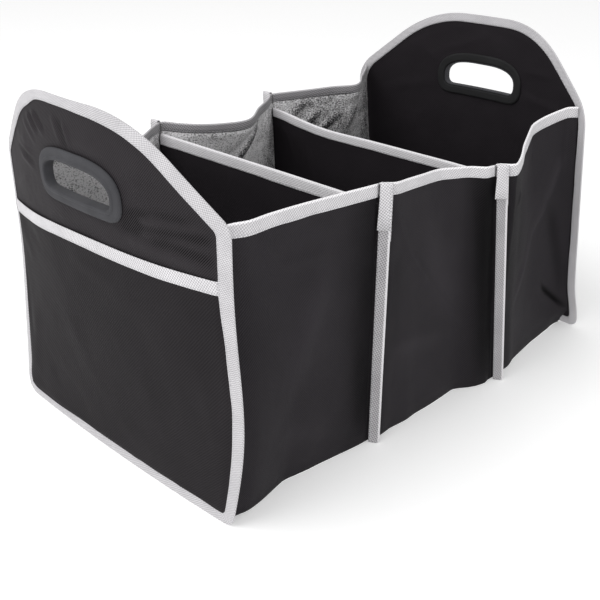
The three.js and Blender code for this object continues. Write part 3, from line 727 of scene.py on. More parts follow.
def panelBinding(end, label, crossing=None):
    # tape folded over the edge of an end panel: its section is [share of the width, rise], carried round the outline
    w, over = binding["width"], binding["over"]
    outline, inner = panelLoop(end, 0), panelLoop(end, w)

    def along(inset):
        return outline + (inner - outline) * np.asarray(inset / w)[..., None]

    def rise(inset):
        return pinch(inset, binding["edgeRise"], binding["rise"])
    section = [(1, -0.45), (0.98, -0.12), (0.9, 0), (0.86, -0.04), (0.7, 0), (0.5, 0.06), (0.3, 0.05), (0.18, 0.02),
               (0.1, 0), (0.04, -0.05)]
    rows = []
    for face in (1, -1):
        width = w * tapeWidthShare(end, *outline.T) if face > 0 else np.full(len(outline), binding["innerWidth"])
        leg = []
        for share, extra in section:
            inset = width * share
            y, z = along(inset).T
            height = rise(inset) + extra + 0.12 * lumps(y + face * 50, z, 11, 7) * smooth(inset, 0.5, 3)
            if crossing is not None and face > 0:
                height = height + crossing(y, z) * smooth(inset, 1, 6)
            y = y + 0.35 * lumps(y, z, 30, 9) * (share > 0.8) * np.sign(y) * (np.abs(y) > 20)
            leg.append(panelPoint(end, y, z, face * height))
        rows += leg if face > 0 else leg[::-1]
        if face > 0:
            for inset, height in [(-0.15, 0.8), (-over * 0.85, 0.45), (-over, 0), (-over * 0.85, -0.45),
                                  (-0.15, -0.8)]:
                rows.append(panelPoint(end, *along(np.array(inset)).T, height))
        inset = width - binding["stitch"]
        y, z = along(inset).T
        lift = crossing(y, z) if crossing is not None and face > 0 else 0
        path = panelPoint(end, y, z, face * (rise(inset) + 0.3 + lift))
        normal = np.broadcast_to([face * end["side"], 0.0, 0.0], path.shape)
        addStitches(label + ("Outer" if face > 0 else "Inner") + "Stitches", path, normal, closed=True)
    addGrid(label + "Binding", np.stack(rows), finish["panelTape"], closedColumns=True, flip=end["side"] < 0,
            thickness=binding["cloth"], replaces=[label + "_end_tape"], slot="pale_tape")


def sweepRing(end, name, section, material, replaces):
    # a moulded section [offset from the hole, n], carried round the grip hole
    points = np.stack([panelPoint(end, *gripLoop(end, offset).T, n) for offset, n in section])
    centre = points.mean(axis=(0, 1))
    inwards = (facing(points, True, True) * (points - centre)).sum()
    addGrid(name, points, material, closedRows=True, closedColumns=True, flip=inwards < 0, replaces=replaces,
            slot="grey_plastic")


def rounded(section, radius=0.7, steps=4):
    # a closed section with each corner turned into a short curve
    p = np.array(section, float)
    before, after = np.roll(p, 1, 0), np.roll(p, -1, 0)
    out = []
    for a, b, c in zip(before, p, after):
        r = min(radius, 0.45 * np.linalg.norm(b - a), 0.45 * np.linalg.norm(c - b))
        out.append(quadratic(b + unit(a - b) * r, b, b + unit(c - b) * r, steps))
        out.append((b + unit(c - b) * r)[None])
    return np.concatenate(out)


def buildGrip(end, label):
    # outside, a flange with a raised lip and the collar that goes through the panel; inside, a plain flange
    w, face, t, c = grip["flange"], grip["face"], grip["thickness"][label], grip["collar"]
    front = rounded([(w, face), (w, face + t * 0.5), (w - 1.2, face + t * 0.86), (w - 3, face + t), (4.2, face + t),
                     (3.2, face + t + 1.1), (0.8, face + t + 1.1), (0, face + t - 0.1), (0, -face - t * 0.6),
                     (c, -face - t * 0.6), (c, face)])
    back = rounded([(w, -face), (w, -face - t * 0.5), (w - 1.5, -face - t), (c + 1.6, -face - t),
                    (c + 0.3, -face - t + 0.9), (c + 0.3, -face)])
    sweepRing(end, label + "Grip", front, finish["grip"], [label + "_grip_ring"])
    sweepRing(end, label + "Clip", back, finish["clip"], [label + "_grip_clip"])


pocket = {
    "trim": 11.8, "edgeRise": 1.83, "rise": 2.95, "belly": 0.8, "flat": (0.33, 0.226), "area": 0.327 * 0.215,
    "height": 214,  # about how tall it is, for its grid
    # its top edge as [y, height], which sags towards the back
    "edge": [(-180, 230.6), (-150, 231), (-110, 231.5), (-70, 232.1), (-30, 232.7), (10, 232), (50, 230), (90, 227),
             (130, 224.4), (180, 221.5)],
}


def pocketTop(y):
    # the height of the pocket's edge
    return curveThrough(pocket["edge"], np.asarray(y, float))


def pocketRise(y, z):
    # how far the pocket stands off the panel's middle: low under the binding, higher inside it, fullest at its mouth
    side = bag["panelWidth"] / 2
    fromEdge = np.minimum(side - np.abs(y), z)
    free = smooth(fromEdge, 9.5, 15)
    belly = pocket["belly"] * smooth(fromEdge, 12, 80) * smooth(z, 60, 210)
    return mix(pocket["edgeRise"], pocket["rise"], free) + belly


pocketWrinkles = [
    (160, 205, 120, 170, 9, 0.9), (150, 215, 95, 195, 7, -0.8), (-150, 222, -100, 190, 8, 0.8),
    (60, 150, 10, 60, 16, 0.9), (-60, 170, -100, 60, 15, -0.9), (130, 120, 150, 30, 12, 1.0),
    (-130, 150, -148, 50, 10, 0.9), (30, 205, -40, 196, 8, 0.7), (-20, 40, -120, 26, 12, 0.8),
    (110, 60, 40, 30, 12, -0.8), (156, 150, 146, 70, 7, -1.0),
]


def buildPocket(end):
    def relief(y, z):
        side = bag["panelWidth"] / 2
        fromEdge = np.minimum(side - np.abs(y), np.minimum(z, 12 + (pocketTop(y) - z)))
        field = creases(y, z, pocketWrinkles) + 0.6 * lumps(y, z, 60, 21) + 0.25 * lumps(y, z, 23, 22)
        return np.maximum(field + 0.1 * lumps(y, z, 8, 23), -0.6) * smooth(fromEdge, 12, 19)
    cloth = panelSheet(end, "pocketCloth", pocketRise, 7, None, 2.0, finish["pocket"], 0.4, ["pocket_cloth"],
                       "black_cloth", relief, top=lambda y: pocketTop(y) - 1)

    side = bag["panelWidth"] / 2 - binding["width"] + 0.6
    y = span(-side, side, 2.6)
    top = pocketTop(y)
    w = pocket["trim"]
    # the trim's section is [height from the edge, n], folded over the edge
    section = [(-w, 0.25), (-w + 0.3, 0.45), (-w + 1.5, 0.5), (-w / 2, 0.56), (-1.5, 0.5), (-0.5, 0.42), (0, 0.2),
               (0.12, 0), (0, -0.2), (-0.5, -0.42), (-1.5, -0.5), (-w / 2, -0.5), (-w, -0.5)]
    rows = []
    for drop, out in section:
        z = top + drop + 0.3 * lumps(y, y * 0 + 3, 24, 31) * (drop < -5)
        n = pocketRise(y, np.minimum(z, top)) + out
        rows.append(panelPoint(end, y, z, n + 0.1 * lumps(y, z, 12, 32) * (out > 0.3)))
    addGrid("pocketTrim", np.stack(rows), finish["tape"], thickness=0.45, flip=end["side"] < 0,
            replaces=["pocket_tape"], slot="pale_tape")
    z = top - w + stitchInset
    path = panelPoint(end, y, z, pocketRise(y, z) + 0.85)
    addStitches("pocketStitches", path, np.broadcast_to([-1.0, 0, 0], path.shape))


wall = {
    "cloth": 0.5, "endGap": 1, "tapeIn": 10, "step": 2.3, "tapeStep": 2.4, "upright": 13.8, "drop": 0.8,
    "tape": 0.45, "height": 270, "middle": 120.0,
    "sheet": (190, 260),  # the length and height that creases and shades are marked on
}
# each wall's folds at its rim and at the floor are [share of the way along, depth], inwards positive; between them
# a fold starts at a share of the height, below which only the floor's line counts; a foot is tucked in further
frontFolds = [
    {"start": 0,
     "rim": [(0, 0), (0.04, 0), (0.14, -3), (0.28, 0), (0.5, 1.5), (0.75, 1), (0.97, 0), (1, 0)],
     "floor": [(0, 0), (0.04, 0), (0.127, -2.3), (0.2, -1), (0.266, 1.5), (0.319, 3.9), (0.373, 6.4), (0.43, 8.4),
               (0.5, 7), (0.58, 5.3), (0.665, 4.3), (0.75, 2.9), (0.97, 0), (1, 0)]},
    {"start": 0,
     "rim": [(0, 0), (0.03, 0), (0.1, -4), (0.24, 1), (0.4, 7), (0.62, 14.5), (0.74, 11), (0.83, 8.5), (0.93, -1),
             (0.98, 0), (1, 0)],
     "floor": [(0, 0), (0.03, 0), (0.08, -2), (0.186, 0.6), (0.28, 0.6), (0.39, 3.7), (0.5, 5.3), (0.61, 7.8),
               (0.67, 9.5), (0.735, 11), (0.77, 8.9), (0.8, 5.3), (0.83, 2.2), (0.866, -0.6), (0.93, -2.5), (0.98, 0),
               (1, 0)]},
    {"start": 0,
     "rim": [(0, 0), (0.015, 0), (0.063, -15.2), (0.08, -17), (0.108, -16), (0.196, -10.5), (0.324, 0.2),
             (0.446, 8.8), (0.556, 16.2), (0.61, 19.4), (0.65, 20.2), (0.694, 20.1), (0.757, 19.1), (0.81, 17.4),
             (0.86, 15.3), (0.91, 12.9), (0.96, 10), (1, 0)],
     "floor": [(0, 0), (0.05, 0), (0.18, -0.5), (0.3, 4), (0.41, 6.4), (0.51, 8.3), (0.61, 10), (0.7, 10.6),
               (0.81, 11.5), (0.91, 9), (0.96, 6), (1, 0)],
     "foot": [(0, 0), (0.81, 0.5), (0.91, 4.4), (0.96, 7.2), (1, 11.5)]},
]
backFolds = [
    {"start": 0.42,
     "rim": [(0, 0), (0.03, 3), (0.25, 30), (0.5, 58), (0.6, 54), (0.75, 33), (0.97, 3), (1, 0)],
     "floor": [(0, 0), (0.5, 3), (1, 0)]},
    {"start": 0.42,
     "rim": [(0, 0), (0.02, 1), (0.07, 20), (0.15, 40), (0.26, 55), (0.41, 65), (0.7, 34), (0.93, 9), (0.98, 1),
             (1, 0)],
     "floor": [(0, 0), (0.41, 3), (1, 0)]},
    {"start": 0.42,
     "rim": [(0, 0), (0.02, 1), (0.1, 9), (0.25, 24), (0.4, 38), (0.54, 55), (0.75, 32), (0.95, 8), (1, 0)],
     "floor": [(0, 0), (0.54, 3), (1, 0)]},
]


def dividerX(divider, z, share):
    # share is −1 at the front, where a divider may stand askew at its top and at the floor, and 1 at the back
    up = z / bag["dividerHeight"]
    topSkew, floorSkew = divider["frontSkew"]
    return mix(divider["floorX"], divider["topX"], up) + mix(floorSkew, topSkew, up) * np.maximum(0, -share)


def dividerY(divider, share, z):
    # the seams where a divider meets the side walls stand at shares −1 and 1
    front, back = (mix(floor, rim, z / bag["dividerHeight"]) for rim, floor in (divider["front"], divider["back"]))
    return share * np.where(share < 0, front, back)


def dividerTop(divider, share):
    # the height of a divider's edge
    return curveThrough(divider["edge"], share)


def rimAt(piece, side):
    return piece["frontRim"] if side < 0 else piece["backRim"]


def endSeam(end, side):
    # where a wall is sewn to an end panel, just inside it
    def at(z):
        return panelPoint(end, side * bag["wallSeam"], z, -(2.5 + wall["endGap"]))[..., :2]
    return {"rim": rimAt(end, side), "at": at}


def dividerSeam(divider, side, face):
    # where a wall is sewn to one face of a divider
    def at(z):
        return np.stack([dividerX(divider, z, side) + face * 1.05, dividerY(divider, side, z)], -1)
    return {"rim": rimAt(divider, side), "at": at}


def wallSections(side):
    # the three walls of a side, each from one seam to the next
    folds = frontFolds if side < 0 else backFolds
    seams = [(endSeam(nearEnd, side), dividerSeam(nearDivider, side, -1)),
             (dividerSeam(nearDivider, side, 1), dividerSeam(farDivider, side, -1)),
             (dividerSeam(farDivider, side, 1), endSeam(farEnd, side))]
    return [{"side": side, "from": a, "to": b, **fold} for (a, b), fold in zip(seams, folds)]


def wallPoint(section, t, z, n):
    # a point of a side wall, n outwards of its cloth: between its two seams, less the depth of its folds; the folds
    # are full at the rim, and below their start only the floor's line counts
    t, z, n = np.broadcast_arrays(np.asarray(t, float), np.asarray(z, float), np.asarray(n, float))

    def plan(t):
        rim = mix(section["from"]["rim"], section["to"]["rim"], t)
        level = np.clip(z / (rim - wall["upright"]), 0, 1)
        start = section["start"]
        upper = np.maximum(0, (level - start) / (1 - start))
        upper = upper ** 1.25 if start else upper
        deep = mix(curveThrough(section["floor"], t), curveThrough(section["rim"], t), upper)
        if "foot" in section:
            deep = deep + curveThrough(section["foot"], t) * (1 - smooth(z, 0, 26))
        a, b = section["from"]["at"](z), section["to"]["at"](z)
        p = mix(a, b, t[..., None])
        p[..., 1] -= section["side"] * deep
        return p
    here = plan(t)
    ahead = plan(np.minimum(t + 0.004, 1)) - plan(np.maximum(t - 0.004, 0))
    out = unit(np.stack([-section["side"] * ahead[..., 1], section["side"] * ahead[..., 0]], -1))
    return np.concatenate([here + n[..., None] * out, z[..., None]], -1)


# creases of each wall as [along, up] to [along, up] on the wall's sheet, width, height
wallCreases = {
    "front1": [(34, 251, 63, 211, 5, 2.2), (63, 211, 129, 210, 6, 1.8), (129, 207, 74, 92, 14, 3.0),
               (67, 60, 170, 22, 9, 1.8), (12, 235, 20, 60, 9, 1.2), (100, 240, 150, 225, 6, 1.2)],
    "front2": [(22, 231, 55, 185, 6, 2.6), (50, 190, 101, 137, 6, 2.6), (95, 142, 152, 74, 6, 2.2),
               (90, 206, 135, 112, 16, 2.4), (26, 96, 132, 77, 9, 1.5), (157, 230, 160, 60, 5, 1.6)],
    "front3": [(176, 205, 146, 157, 6, 2.4), (150, 160, 115, 138, 6, 2.6), (119, 142, 48, 78, 6, 2.8),
               (144, 62, 190, 22, 4, -2.6), (152, 52, 192, 12, 4, 1.6), (41, 219, 29, 205, 3, 1.6),
               (126, 80, 160, 30, 6, 1.4)],
    "back1": [(60, 250, 100, 190, 6, 1.6), (120, 240, 80, 150, 8, -1.4), (150, 250, 130, 180, 5, 1.2)],
    "back2": [(126, 248, 64, 196, 6, -3.2), (140, 244, 82, 190, 6, 1.8), (108, 250, 48, 206, 6, 1.8),
              (40, 250, 30, 190, 7, 1.0), (140, 240, 150, 170, 7, 1.2)],
    "back3": [(46, 246, 16, 222, 3.5, -2.0), (66, 234, 36, 206, 4, -2.2), (94, 228, 60, 196, 4, -2.4),
              (104, 240, 82, 220, 4, 1.6), (52, 240, 26, 214, 3, 1.5), (80, 230, 50, 202, 3, 1.6),
              (124, 232, 100, 198, 5, -1.8), (140, 244, 130, 190, 5, 1.5)],
}
# painted shade (above 0) and painted highlight (below 0) on a wall's cloth, where light falls off across its folds and
# creases: [along, up] to [along, up], width, amount
paintedWallShadeAndLight = {
    "front1": [(182, 300, 184, -40, 30, 0.85), (170, 118, 180, 10, 12, 0.3), (129, 207, 74, 92, 17, -0.4),
               (25, 220, 24, 20, 16, 0.2), (67, 54, 141, 38, 14, -0.2)],
    "front2": [(178, 300, 179, -40, 22, 1.35), (30, 200, 29, 70, 12, 0.35), (90, 225, 132, 91, 19, -0.5),
               (26, 91, 132, 71, 12, -0.3)],
    "front3": [(179, 210, 146, 157, 7, -0.6), (150, 160, 115, 138, 7, -0.7), (119, 142, 48, 76, 7, -0.8),
               (160, 155, 186, 45, 10, 0.6), (144, 62, 190, 22, 3.5, 1.4), (60, 215, 60, 110, 16, 0.6),
               (24, 300, 22, -40, 20, 0.75)],
    "back1": [(95, 300, 95, 0, 120, -0.2), (182, 300, 182, 0, 12, 0.8)],
    "back2": [(126, 250, 60, 192, 7, 1.5), (178, 300, 178, 0, 16, 0.7)],
    "back3": [(90, 300, 90, 0, 120, 0.55), (46, 246, 16, 222, 3.5, 1.0), (66, 234, 36, 206, 4, 1.1),
              (94, 228, 60, 196, 4, 1.2), (124, 232, 100, 198, 5, 0.9), (176, 300, 176, 0, 16, 0.7)],
}
hems = {  # how far a wall's foot is off the floor in its middle, and how much more towards its far end
    "front1": (2.1, 0), "front2": (2.1, 0), "front3": (2.1, 1.6), "back1": (0.6, 0), "back2": (0.6, 0),
    "back3": (0.6, 0),
}
leastHem = 0.6
rimTapes = {"front1": 12.2, "front2": 10.9, "front3": 11.8, "back1": 13, "back2": 13, "back3": 13}


def buildWall(side, k, section, seed):
    # a side wall: its creases and lumps die out at its seams, under the rim's tape and at the floor
    place = "front" if side < 0 else "back"
    word = place + str(k + 1)
    middle = np.array(wall["middle"])
    length = np.linalg.norm(section["from"]["at"](middle) - section["to"]["at"](middle))
    t = span(0, 1, wall["step"] / length)[:, None]
    rim = mix(section["from"]["rim"], section["to"]["rim"], t)
    z = span(0, 1, wall["step"] / wall["height"])[None] * (rim - wall["drop"])
    along, up = t * wall["sheet"][0] + 0 * z, z / rim * wall["sheet"][1]
    calm = smooth(t, 0, 0.04) * (1 - smooth(t, 0.96, 1)) * (1 - smooth(z, rim - 22, rim - 14)) * smooth(z, 0, 14)
    n = creases(along, up, wallCreases[word]) + 1.3 * lumps(along, up, 70, seed) + 0.5 * lumps(along, up, 26, seed + 1)
    n = (n + 0.1 * lumps(along, up, 8, seed + 2)) * calm
    points = wallPoint(section, t, z, n)
    most, more = hems[word]
    hem = leastHem + (most - leastHem) * np.sin(np.pi * t) ** 2 + more * smooth(t, 0.3, 0.85)
    points[..., 2] = points[..., 2] + hem * (1 - smooth(z, 0, 25))
    # the cloth's colour carries its wall's painted shade and painted highlight
    cloth = addGrid(word + "Wall", points, finish["wall"], backing=finish["heather"], thickness=wall["cloth"],
                    flip=side > 0, replaces=[f"{place}_wall_{k + 1}"],
                    slot="black_cloth" if side < 0 else "grey_cloth", shade=creases(along, up, paintedWallShadeAndLight[word]))

    # the rim's tape, folded over the top edge: its section is [height from the edge, n]
    a, b = -rimTapes[word], -wall["tapeIn"]
    shape = [(a, 0.6), (a + 0.3, 0.8), (a + 1.5, 0.85), (a / 2, 0.9), (-1.5, 0.85), (-0.4, 0.75), (0.25, 0.45),
             (0.45, 0), (0.25, -0.45), (-0.4, -0.75), (-1.5, -0.85), (b / 2, -0.85), (b, -0.75)]
    t = span(0, 1, wall["tapeStep"] / length)
    along = t * wall["sheet"][0]
    top = mix(section["from"]["rim"], section["to"]["rim"], t) - wall["drop"]
    rows = []
    for drop, out in shape:
        ripple = 0.15 * lumps(along, t * 0 + drop, 13, seed + 5) * (out > 0.7)
        z = top + drop + (0.35 * lumps(along, t * 0, 21, seed + 6) if drop < -5 else 0)
        rows.append(wallPoint(section, t, z, out + ripple))
    # painted highlight along the tape's folded top edge; the rest of the tape a little darker
    paintedFoldHighlight = np.array([-0.9 if drop > -1 else 0.08 for drop, out in shape])[:, None]
    addGrid(word + "Rim", np.stack(rows), finish["tape" if side < 0 else "backTape"], shade=paintedFoldHighlight,
            thickness=wall["tape"], flip=side < 0, replaces=[f"{place}_rim_tape_{k + 1}"], slot="pale_tape")
    for drop, out in ((a + stitchInset, 1.15), (b + stitchInset, -1.15)):
        path = wallPoint(section, t, top + drop, out)
        outer = wallPoint(section, t, top + drop, out * 2)
        addStitches(word + ("Outer" if out > 0 else "Inner") + "Stitches", path, outer - path)


fin = {
    "reach": 12.2, "half": 1.2, "frontLean": 0.55, "backLean": -0.05, "root": 1.35, "tape": 0.5, "tabTape": 0.45,
    "tab": {"FrontNear": 55, "FrontFar": 43, "BackNear": 42, "BackFar": 42},
    # how far a tab's lower corner lifts
    "flare": {"FrontNear": 0.6, "FrontFar": 6.5, "BackNear": 0.6, "BackFar": 0.6},
}


def finPoint(divider, side, z, out, across):
    # out along the seam from its root just outside the wall, across its thickness towards the far end
    lean = np.arctan(fin["frontLean"] if side < 0 else fin["backLean"])
    x = dividerX(divider, z, side) + out * np.sin(lean) + across * np.cos(lean)
    root = dividerY(divider, side, z) + side * fin["root"]
    y = root + side * (out * np.cos(lean) - across * np.sin(lean))
    return np.stack(np.broadcast_arrays(x, y, z), -1)


def nodeName(label):
    # FrontNear becomes front_near
    return "".join("_" + c.lower() if c.isupper() and i else c.lower() for i, c in enumerate(label))


def buildFin(divider, side, label):
    # the bound seam that stands out of the walls where a divider is sewn in: its section is [out, across]
    name, top = label[0].lower() + label[1:], rimAt(divider, side)
    lean = abs(fin["frontLean"] if side < 0 else fin["backLean"])
    h, reach = fin["half"], fin["reach"] - 0.25
    start = 1.45 * lean + 0.3
    shape = [(start, h), (start + 0.5, h + 0.15), (4, h + 0.2), (8, h + 0.1), (reach - 2, h), (reach - 0.9, h + 0.1),
             (reach - 0.2, h * 0.65), (reach, 0), (reach - 0.2, -h * 0.65), (reach - 0.9, -h - 0.1), (reach - 2, -h),
             (8, -h - 0.1), (4, -h - 0.2), (start + 0.5, -h - 0.15), (start, -h)]
    z = span(0.4, top, 2.6)
    rows = []
    for out, across in shape:
        wave = 0.35 * lumps(z, z * 0 + 5, 38, 51) * smooth(out, 2, 12)
        cutCorner = smooth(-z, -3, -0.4) * smooth(out, 6, 13)
        rows.append(finPoint(divider, side, z, out - cutCorner, across + wave + 0.08 * lumps(z, z * 0 + out, 9, 52)))
    # painted highlight along the seam tape's folded outer edge; the rest a little darker
    paintedFoldHighlight = np.array([-1.4 if out > reach - 1.9 else 0.1 for out, across in shape])[:, None]
    addGrid(name + "Seam", np.stack(rows), finish["seamTape"], shade=paintedFoldHighlight, thickness=fin["tape"], flip=side < 0,
            replaces=[nodeName(label) + "_seam_tape"], slot="pale_tape")
    tab, flare = fin["tab"][label], fin["flare"][label]
    z = span(4, top - tab, 3)
    for across, word in ((-h - 0.5, "Near"), (h + 0.5, "Far")):
        path = finPoint(divider, side, z, 2.0 + start, across)
        beyond = finPoint(divider, side, z, 2.0 + start, across * 2)
        addStitches(name + word + "Stitches", path, beyond - path)

    # the tab: a short tape folded over the top of the seam, its lower corner a little askew
    wide = np.array([start + 0.2, 2, 4, 6, 8, 10, 12, fin["reach"] + 0.15, fin["reach"] + 0.35])
    nearRoot = np.linspace(1, 0, len(wide))
    # down one side of it, over the top and down the other: [height from the top, share of its thickness]
    down = [(-tab, 1), (-tab * 0.75, 1), (-tab * 0.5, 1), (-tab * 0.25, 1), (-3, 1), (-0.6, 1), (0.2, 0.75),
            (0.7, 0.3), (0.75, 0), (0.7, -0.3), (0.2, -0.75), (-0.6, -1), (-3, -1), (-tab * 0.25, -1),
            (-tab * 0.5, -1), (-tab * 0.8, -1)]
    rows = []
    for drop, sideShare in down:
        askew = nearRoot * (sideShare < 0)
        out = wide - 1.5 * smooth(-drop, 4, tab) * askew
        bulge = 0.55 * (1 - smooth(wide, 10, 12.4)) + flare * smooth(-drop, 0, tab) * askew
        rows.append(finPoint(divider, side, np.full(len(wide), top + 0.3 + drop), out,
                             sideShare * (h + 0.75) + np.sign(sideShare) * (bulge - 0.35)))
    addGrid(name + "Tab", np.stack(rows), finish["tape"], thickness=fin["tabTape"], flip=side < 0,
            replaces=[nodeName(label) + "_seam_tab"], slot="pale_tape")
    z = span(top - tab + 2, top - 1, 3)
    for across, word in ((-h - 1.55, "Near"), (h + 1.55, "Far")):
        path = finPoint(divider, side, z, 11.2, across)
        addStitches(name + "Tab" + word + "Stitches", path, finPoint(divider, side, z, 11.2, across * 2) - path)


dividerPanel = {
    "half": 1.35, "cloth": 0.45, "tape": {"near": 11.2, "far": 9.4}, "step": 3.2, "tapeStep": 2.6, "foot": 1.0,
    "card": 1.6, "tapeCloth": 0.45, "halfWidth": 165, "height": 245, "flat": (0.33, 0.503),
    # [across the bag, up] to [across the bag, up], width, height
    "creases": [(120, 230, 80, 120, 9, 1), (-100, 220, -60, 90, 12, 1), (20, 200, 0, 60, 12, 0.8),
                (150, 236, 120, 170, 7, 0.9), (-60, 236, -20, 150, 8, 0.8)],
}


def dividerPoint(divider, share, z, n):
    # a point of a divider, n towards the far end of its middle
    share, z, n = np.broadcast_arrays(np.asarray(share, float), np.asarray(z, float), np.asarray(n, float))
    return np.stack([dividerX(divider, z, share) + n, dividerY(divider, share, z), z], -1)


def buildDivider(divider, seed):
    # the sleeve runs down the far face, under the card and up the near face; relief stands away from the card
    label, low, halfWidth = divider["label"], dividerPanel["foot"], dividerPanel["halfWidth"]
    middle = span(-0.95, 0.95, dividerPanel["step"] / halfWidth)[1:-1]
    share = np.concatenate([span(-1, -0.95, 0.01), middle, span(0.95, 1, 0.01)])
    top = dividerTop(divider, share)
    rise = span(0, 1, dividerPanel["step"] / dividerPanel["height"])
    faceShare = np.concatenate([rise[::-1], [0, 0, 0], rise])
    across = np.concatenate([np.ones(len(rise)), [0.7, 0, -0.7], -np.ones(len(rise))])[:, None]
    z = low + faceShare[:, None] * (top - low - 0.4)[None]
    z[len(rise):len(rise) + 3] -= np.array([0.25, 0.4, 0.25])[:, None]
    y = dividerY(divider, share, z)
    thin = mix(0.45, 1, smooth(1 - np.abs(share), 0, 0.06))
    relief = np.maximum(0.7 * lumps(y, z, 60, seed) + 0.35 * lumps(y + 300 * across, z, 27, seed + 1)
                        + creases(y, z, dividerPanel["creases"]), -0.3)
    relief = relief * (smooth(z, 4, 20) * (1 - smooth(z, top - 24, top - 12)) * smooth(1 - np.abs(share), 0.02, 0.1))
    points = dividerPoint(divider, share, z, across * (dividerPanel["half"] * thin + relief))
    cloth = addGrid(label + "DividerCloth", points, finish["inside"], thickness=dividerPanel["cloth"],
                    replaces=[label + "_divider_cloth"], slot="black_cloth")

    s = span(-0.91, 0.91, 0.035)
    z = 1.4 + span(0, 1, 0.04)[:, None] * (dividerTop(divider, s) - 2)[None]
    addGrid(label + "DividerCard", dividerPoint(divider, s, z, 0), finish["card"],
            thickness=dividerPanel["card"], replaces=[label + "_divider_card"], slot="brown_card")

    # its tape, folded over the top edge: the section is [height from the edge, n]
    s = span(-0.985, 0.985, dividerPanel["tapeStep"] / halfWidth)
    top = dividerTop(divider, s)
    w = dividerPanel["tape"][label]
    shape = [(-w, 1.7), (-w + 0.3, 1.95), (-w + 1.5, 2.0), (-w / 2, 2.1), (-1.2, 2.0), (-0.2, 1.85), (0.45, 1.2),
             (0.7, 0), (0.45, -1.2), (-0.2, -1.85), (-1.2, -2.0), (-w / 2, -2.1), (-w + 1.5, -2.0), (-w + 0.3, -1.95),
             (-w, -1.7)]
    rows = []
    for drop, out in shape:
        z = top + drop + (0.4 * lumps(s * halfWidth, s * 0 + out, 25, seed + 6) if drop < -5 else 0)
        ripple = 0.12 * np.sign(out) * lumps(s * halfWidth, z, 12, seed + 7)
        rows.append(dividerPoint(divider, s, z, out + ripple))
    addGrid(label + "DividerTape", np.stack(rows), finish["innerTape"], thickness=dividerPanel["tapeCloth"],
            flip=True, replaces=[label + "_divider_tape"], slot="pale_tape")
    for out, word in ((-2.4, "Near"), (2.4, "Far")):
        path = dividerPoint(divider, s, top - w + stitchInset, out)
        addStitches(label + "Divider" + word + "Stitches", path, np.broadcast_to([np.sign(out), 0.0, 0], path.shape))


floorSheet = {"height": 0.28, "cloth": 0.45, "gap": -0.65, "flat": (0.55, 0.325)}


def buildFloor():
    # one sheet between the feet of the front and the back walls
    t = span(0, 1, 0.02)
    rows = []
    for a, b in zip(wallSections(-1), wallSections(1)):
        start, end = (wallPoint(section, t, 0, floorSheet["gap"]) for section in (a, b))
        rows.append(mix(start[:, None], end[:, None], t[None, :, None]))
    points = np.concatenate(rows)
    points[..., 2] = floorSheet["height"]
    cloth = addGrid("floorCloth", points, finish["inside"], thickness=floorSheet["cloth"], replaces=["floor_cloth"],
                    slot="black_cloth", flip=True)


boards = {"corner": 8, "edge": 0.9, "around": 96}


def buildBoard(k):
    # a stiff board covered in cloth: its outline is carried up over a rounded edge and closed to its middle
    low, high = (np.array(c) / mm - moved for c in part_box("base_board_" + str(k)))
    centre, half, r = (low + high)[:2] / 2, (high - low)[:2] / 2, boards["corner"]
    angle = np.linspace(0, 2 * np.pi, boards["around"], endpoint=False)
    corner = np.stack([np.sign(np.cos(angle)), np.sign(np.sin(angle))], -1) * (half - r)

    def ring(inset):
        return centre + corner + np.stack([np.cos(angle), np.sin(angle)], -1) * (r - inset)
    e = boards["edge"]

    def shrunk(loop, share, z):
        # the loop drawn in towards the board's middle, never quite to a point
        flat = centre + (loop - centre) * max(share, 0.002)
        return np.column_stack([flat, np.broadcast_to(z, len(flat))])
    under = [shrunk(ring(e), share, low[2]) for share in np.linspace(0, 1, 8)[:-1]]
    side = [np.column_stack([ring(inset), np.full(len(angle), z)])
            for inset, z in [(e, low[2]), (e * 0.3, low[2] + e * 0.3), (0, low[2] + e), (0, high[2] - e),
                             (e * 0.3, high[2] - e * 0.3), (e, high[2]), (r * 0.9, high[2])]]
    over = [shrunk(ring(r * 0.9), share, high[2]) for share in np.linspace(1, 0, 14)[1:]]
    for share, rim in zip(np.linspace(1, 0, 14)[1:], over):
        rim[:, 2] += 0.25 * lumps(rim[:, 0], rim[:, 1], 40, 70 + k) * (1 - share)
    points = np.stack(under + side + over)
    uv = points[..., :2] * mm
    uv = np.concatenate([uv, uv[:, :1]], 1)
    addGrid("board" + str(k), points, finish["inside"], uv, closedColumns=True, replaces=["base_board_" + str(k)],
            slot="black_cloth")


def trimLift(y, z):
    # the binding rides over the ends of the pocket's trim
    d = z - pocketTop(y) + pocket["trim"] / 2
    return 0.6 * np.exp(-(d / 7.5) ** 4) * (np.abs(y) > 140)


buildPanel(nearEnd, "near", nearWrinkles, 2.1, 3.4, 1, underPocket=lambda y: pocketTop(y) - 14)
buildPanel(farEnd, "far", farWrinkles, 3.0, 2.3, 11)
panelBinding(nearEnd, "near", trimLift)
panelBinding(farEnd, "far")
print("end panels ready")
buildGrip(nearEnd, "near")
buildGrip(farEnd, "far")
buildPocket(nearEnd)
print("grips and pocket ready")
for side in (-1, 1):
    for k, section in enumerate(wallSections(side)):
        buildWall(side, k, section, 100 + 10 * k + (side > 0) * 50)
print("walls ready")
for divider in (nearDivider, farDivider):
    for side, word in ((-1, "Front"), (1, "Back")):
        buildFin(divider, side, word + divider["label"].capitalize())
    buildDivider(divider, 200 if divider is nearDivider else 220)
buildFloor()
for k in (1, 2, 3):
    buildBoard(k)
print("dividers and floor ready")


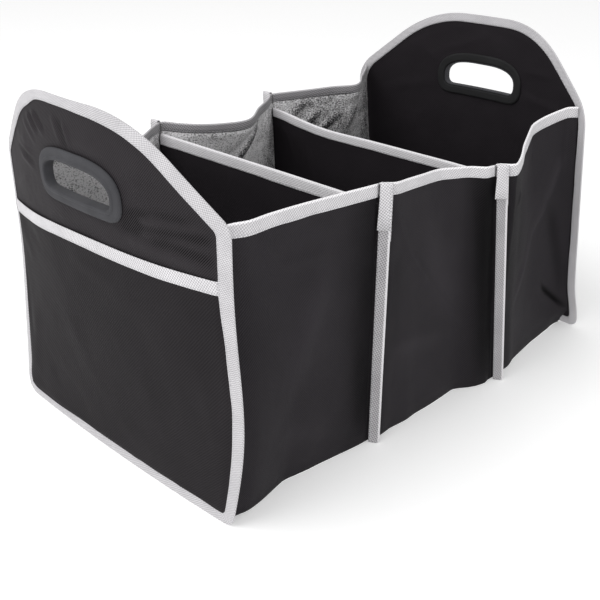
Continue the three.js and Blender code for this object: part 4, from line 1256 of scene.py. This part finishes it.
studio = {
    "lens": 58.69, "place": (-726.5, -716.2, 551.5),
    "right": (0.71640894, -0.69767817, -0.0018459), "up": (0.29924108, 0.30488269, 0.9041578),
    "forward": (0.63024837, 0.6482991, -0.42719466),
    "sky": 0.7, "paper": 0.2, "paperHalf": 9, "lampSize": 1.8, "aim": (0, 0, 0.12),
    # each lamp: its power (watts) and place (metres)
    "lamps": {"key": (30, (-1.3, 0.5, 2.5)), "side": (12, (-2.0, -1.5, 1.2)), "fill": (4.5, (0.6, -2.5, 1.5))},
}


def addFloor():
    me = bpy.data.meshes.new("studioFloor")
    h = studio["paperHalf"]
    me.from_pydata([(-h, -h, 0), (h, -h, 0), (h, h, 0), (-h, h, 0)], [], [(0, 1, 2, 3)])
    material, _, shader = nodeTree("studioPaper", 0.9, 0.1)
    shader.inputs["Base Color"].default_value = (0.96, 0.96, 0.96, 1)
    shader.inputs["Emission Color"].default_value = (1, 1, 1, 1)
    shader.inputs["Emission Strength"].default_value = studio["paper"]
    me.materials.append(material)
    floor = bpy.data.objects.new("studioFloor", me)
    bpy.context.collection.objects.link(floor)


def addLamp(name, power, place):
    # a square soft box, turned towards the bag
    data = bpy.data.lights.new(name, "AREA")
    data.energy, data.size = power, studio["lampSize"]
    lamp = bpy.data.objects.new(name, data)
    lamp.location = place
    lamp.rotation_euler = (Vector(studio["aim"]) - Vector(place)).to_track_quat("-Z", "Y").to_euler()
    bpy.context.collection.objects.link(lamp)


def addSky():
    sky = bpy.data.worlds.new("studioSky")
    sky.use_nodes = True
    background = sky.node_tree.nodes["Background"]
    background.inputs["Color"].default_value = (1, 1, 1, 1)
    background.inputs["Strength"].default_value = studio["sky"]
    bpy.context.scene.world = sky


def addCamera():
    # the camera solved from the photograph, on a 36 mm sensor
    data = bpy.data.cameras.new("camera")
    data.lens, data.sensor_width, data.sensor_fit = studio["lens"], 36, "HORIZONTAL"
    data.clip_start, data.clip_end = 0.01, 50
    camera = bpy.data.objects.new("camera", data)
    right, up, forward = (np.array(studio[k]) for k in ("right", "up", "forward"))
    place = (np.array(studio["place"]) + moved) * mm
    turn = np.eye(4)
    turn[:3, 0], turn[:3, 1], turn[:3, 2], turn[:3, 3] = right, up, -forward, place
    camera.matrix_world = Matrix(turn.tolist())
    bpy.context.collection.objects.link(camera)
    bpy.context.scene.camera = camera


addFloor()
for name, (power, place) in studio["lamps"].items():
    addLamp(name, power, place)
addSky()
bpy.context.scene.view_settings.view_transform = "Standard"
addCamera()
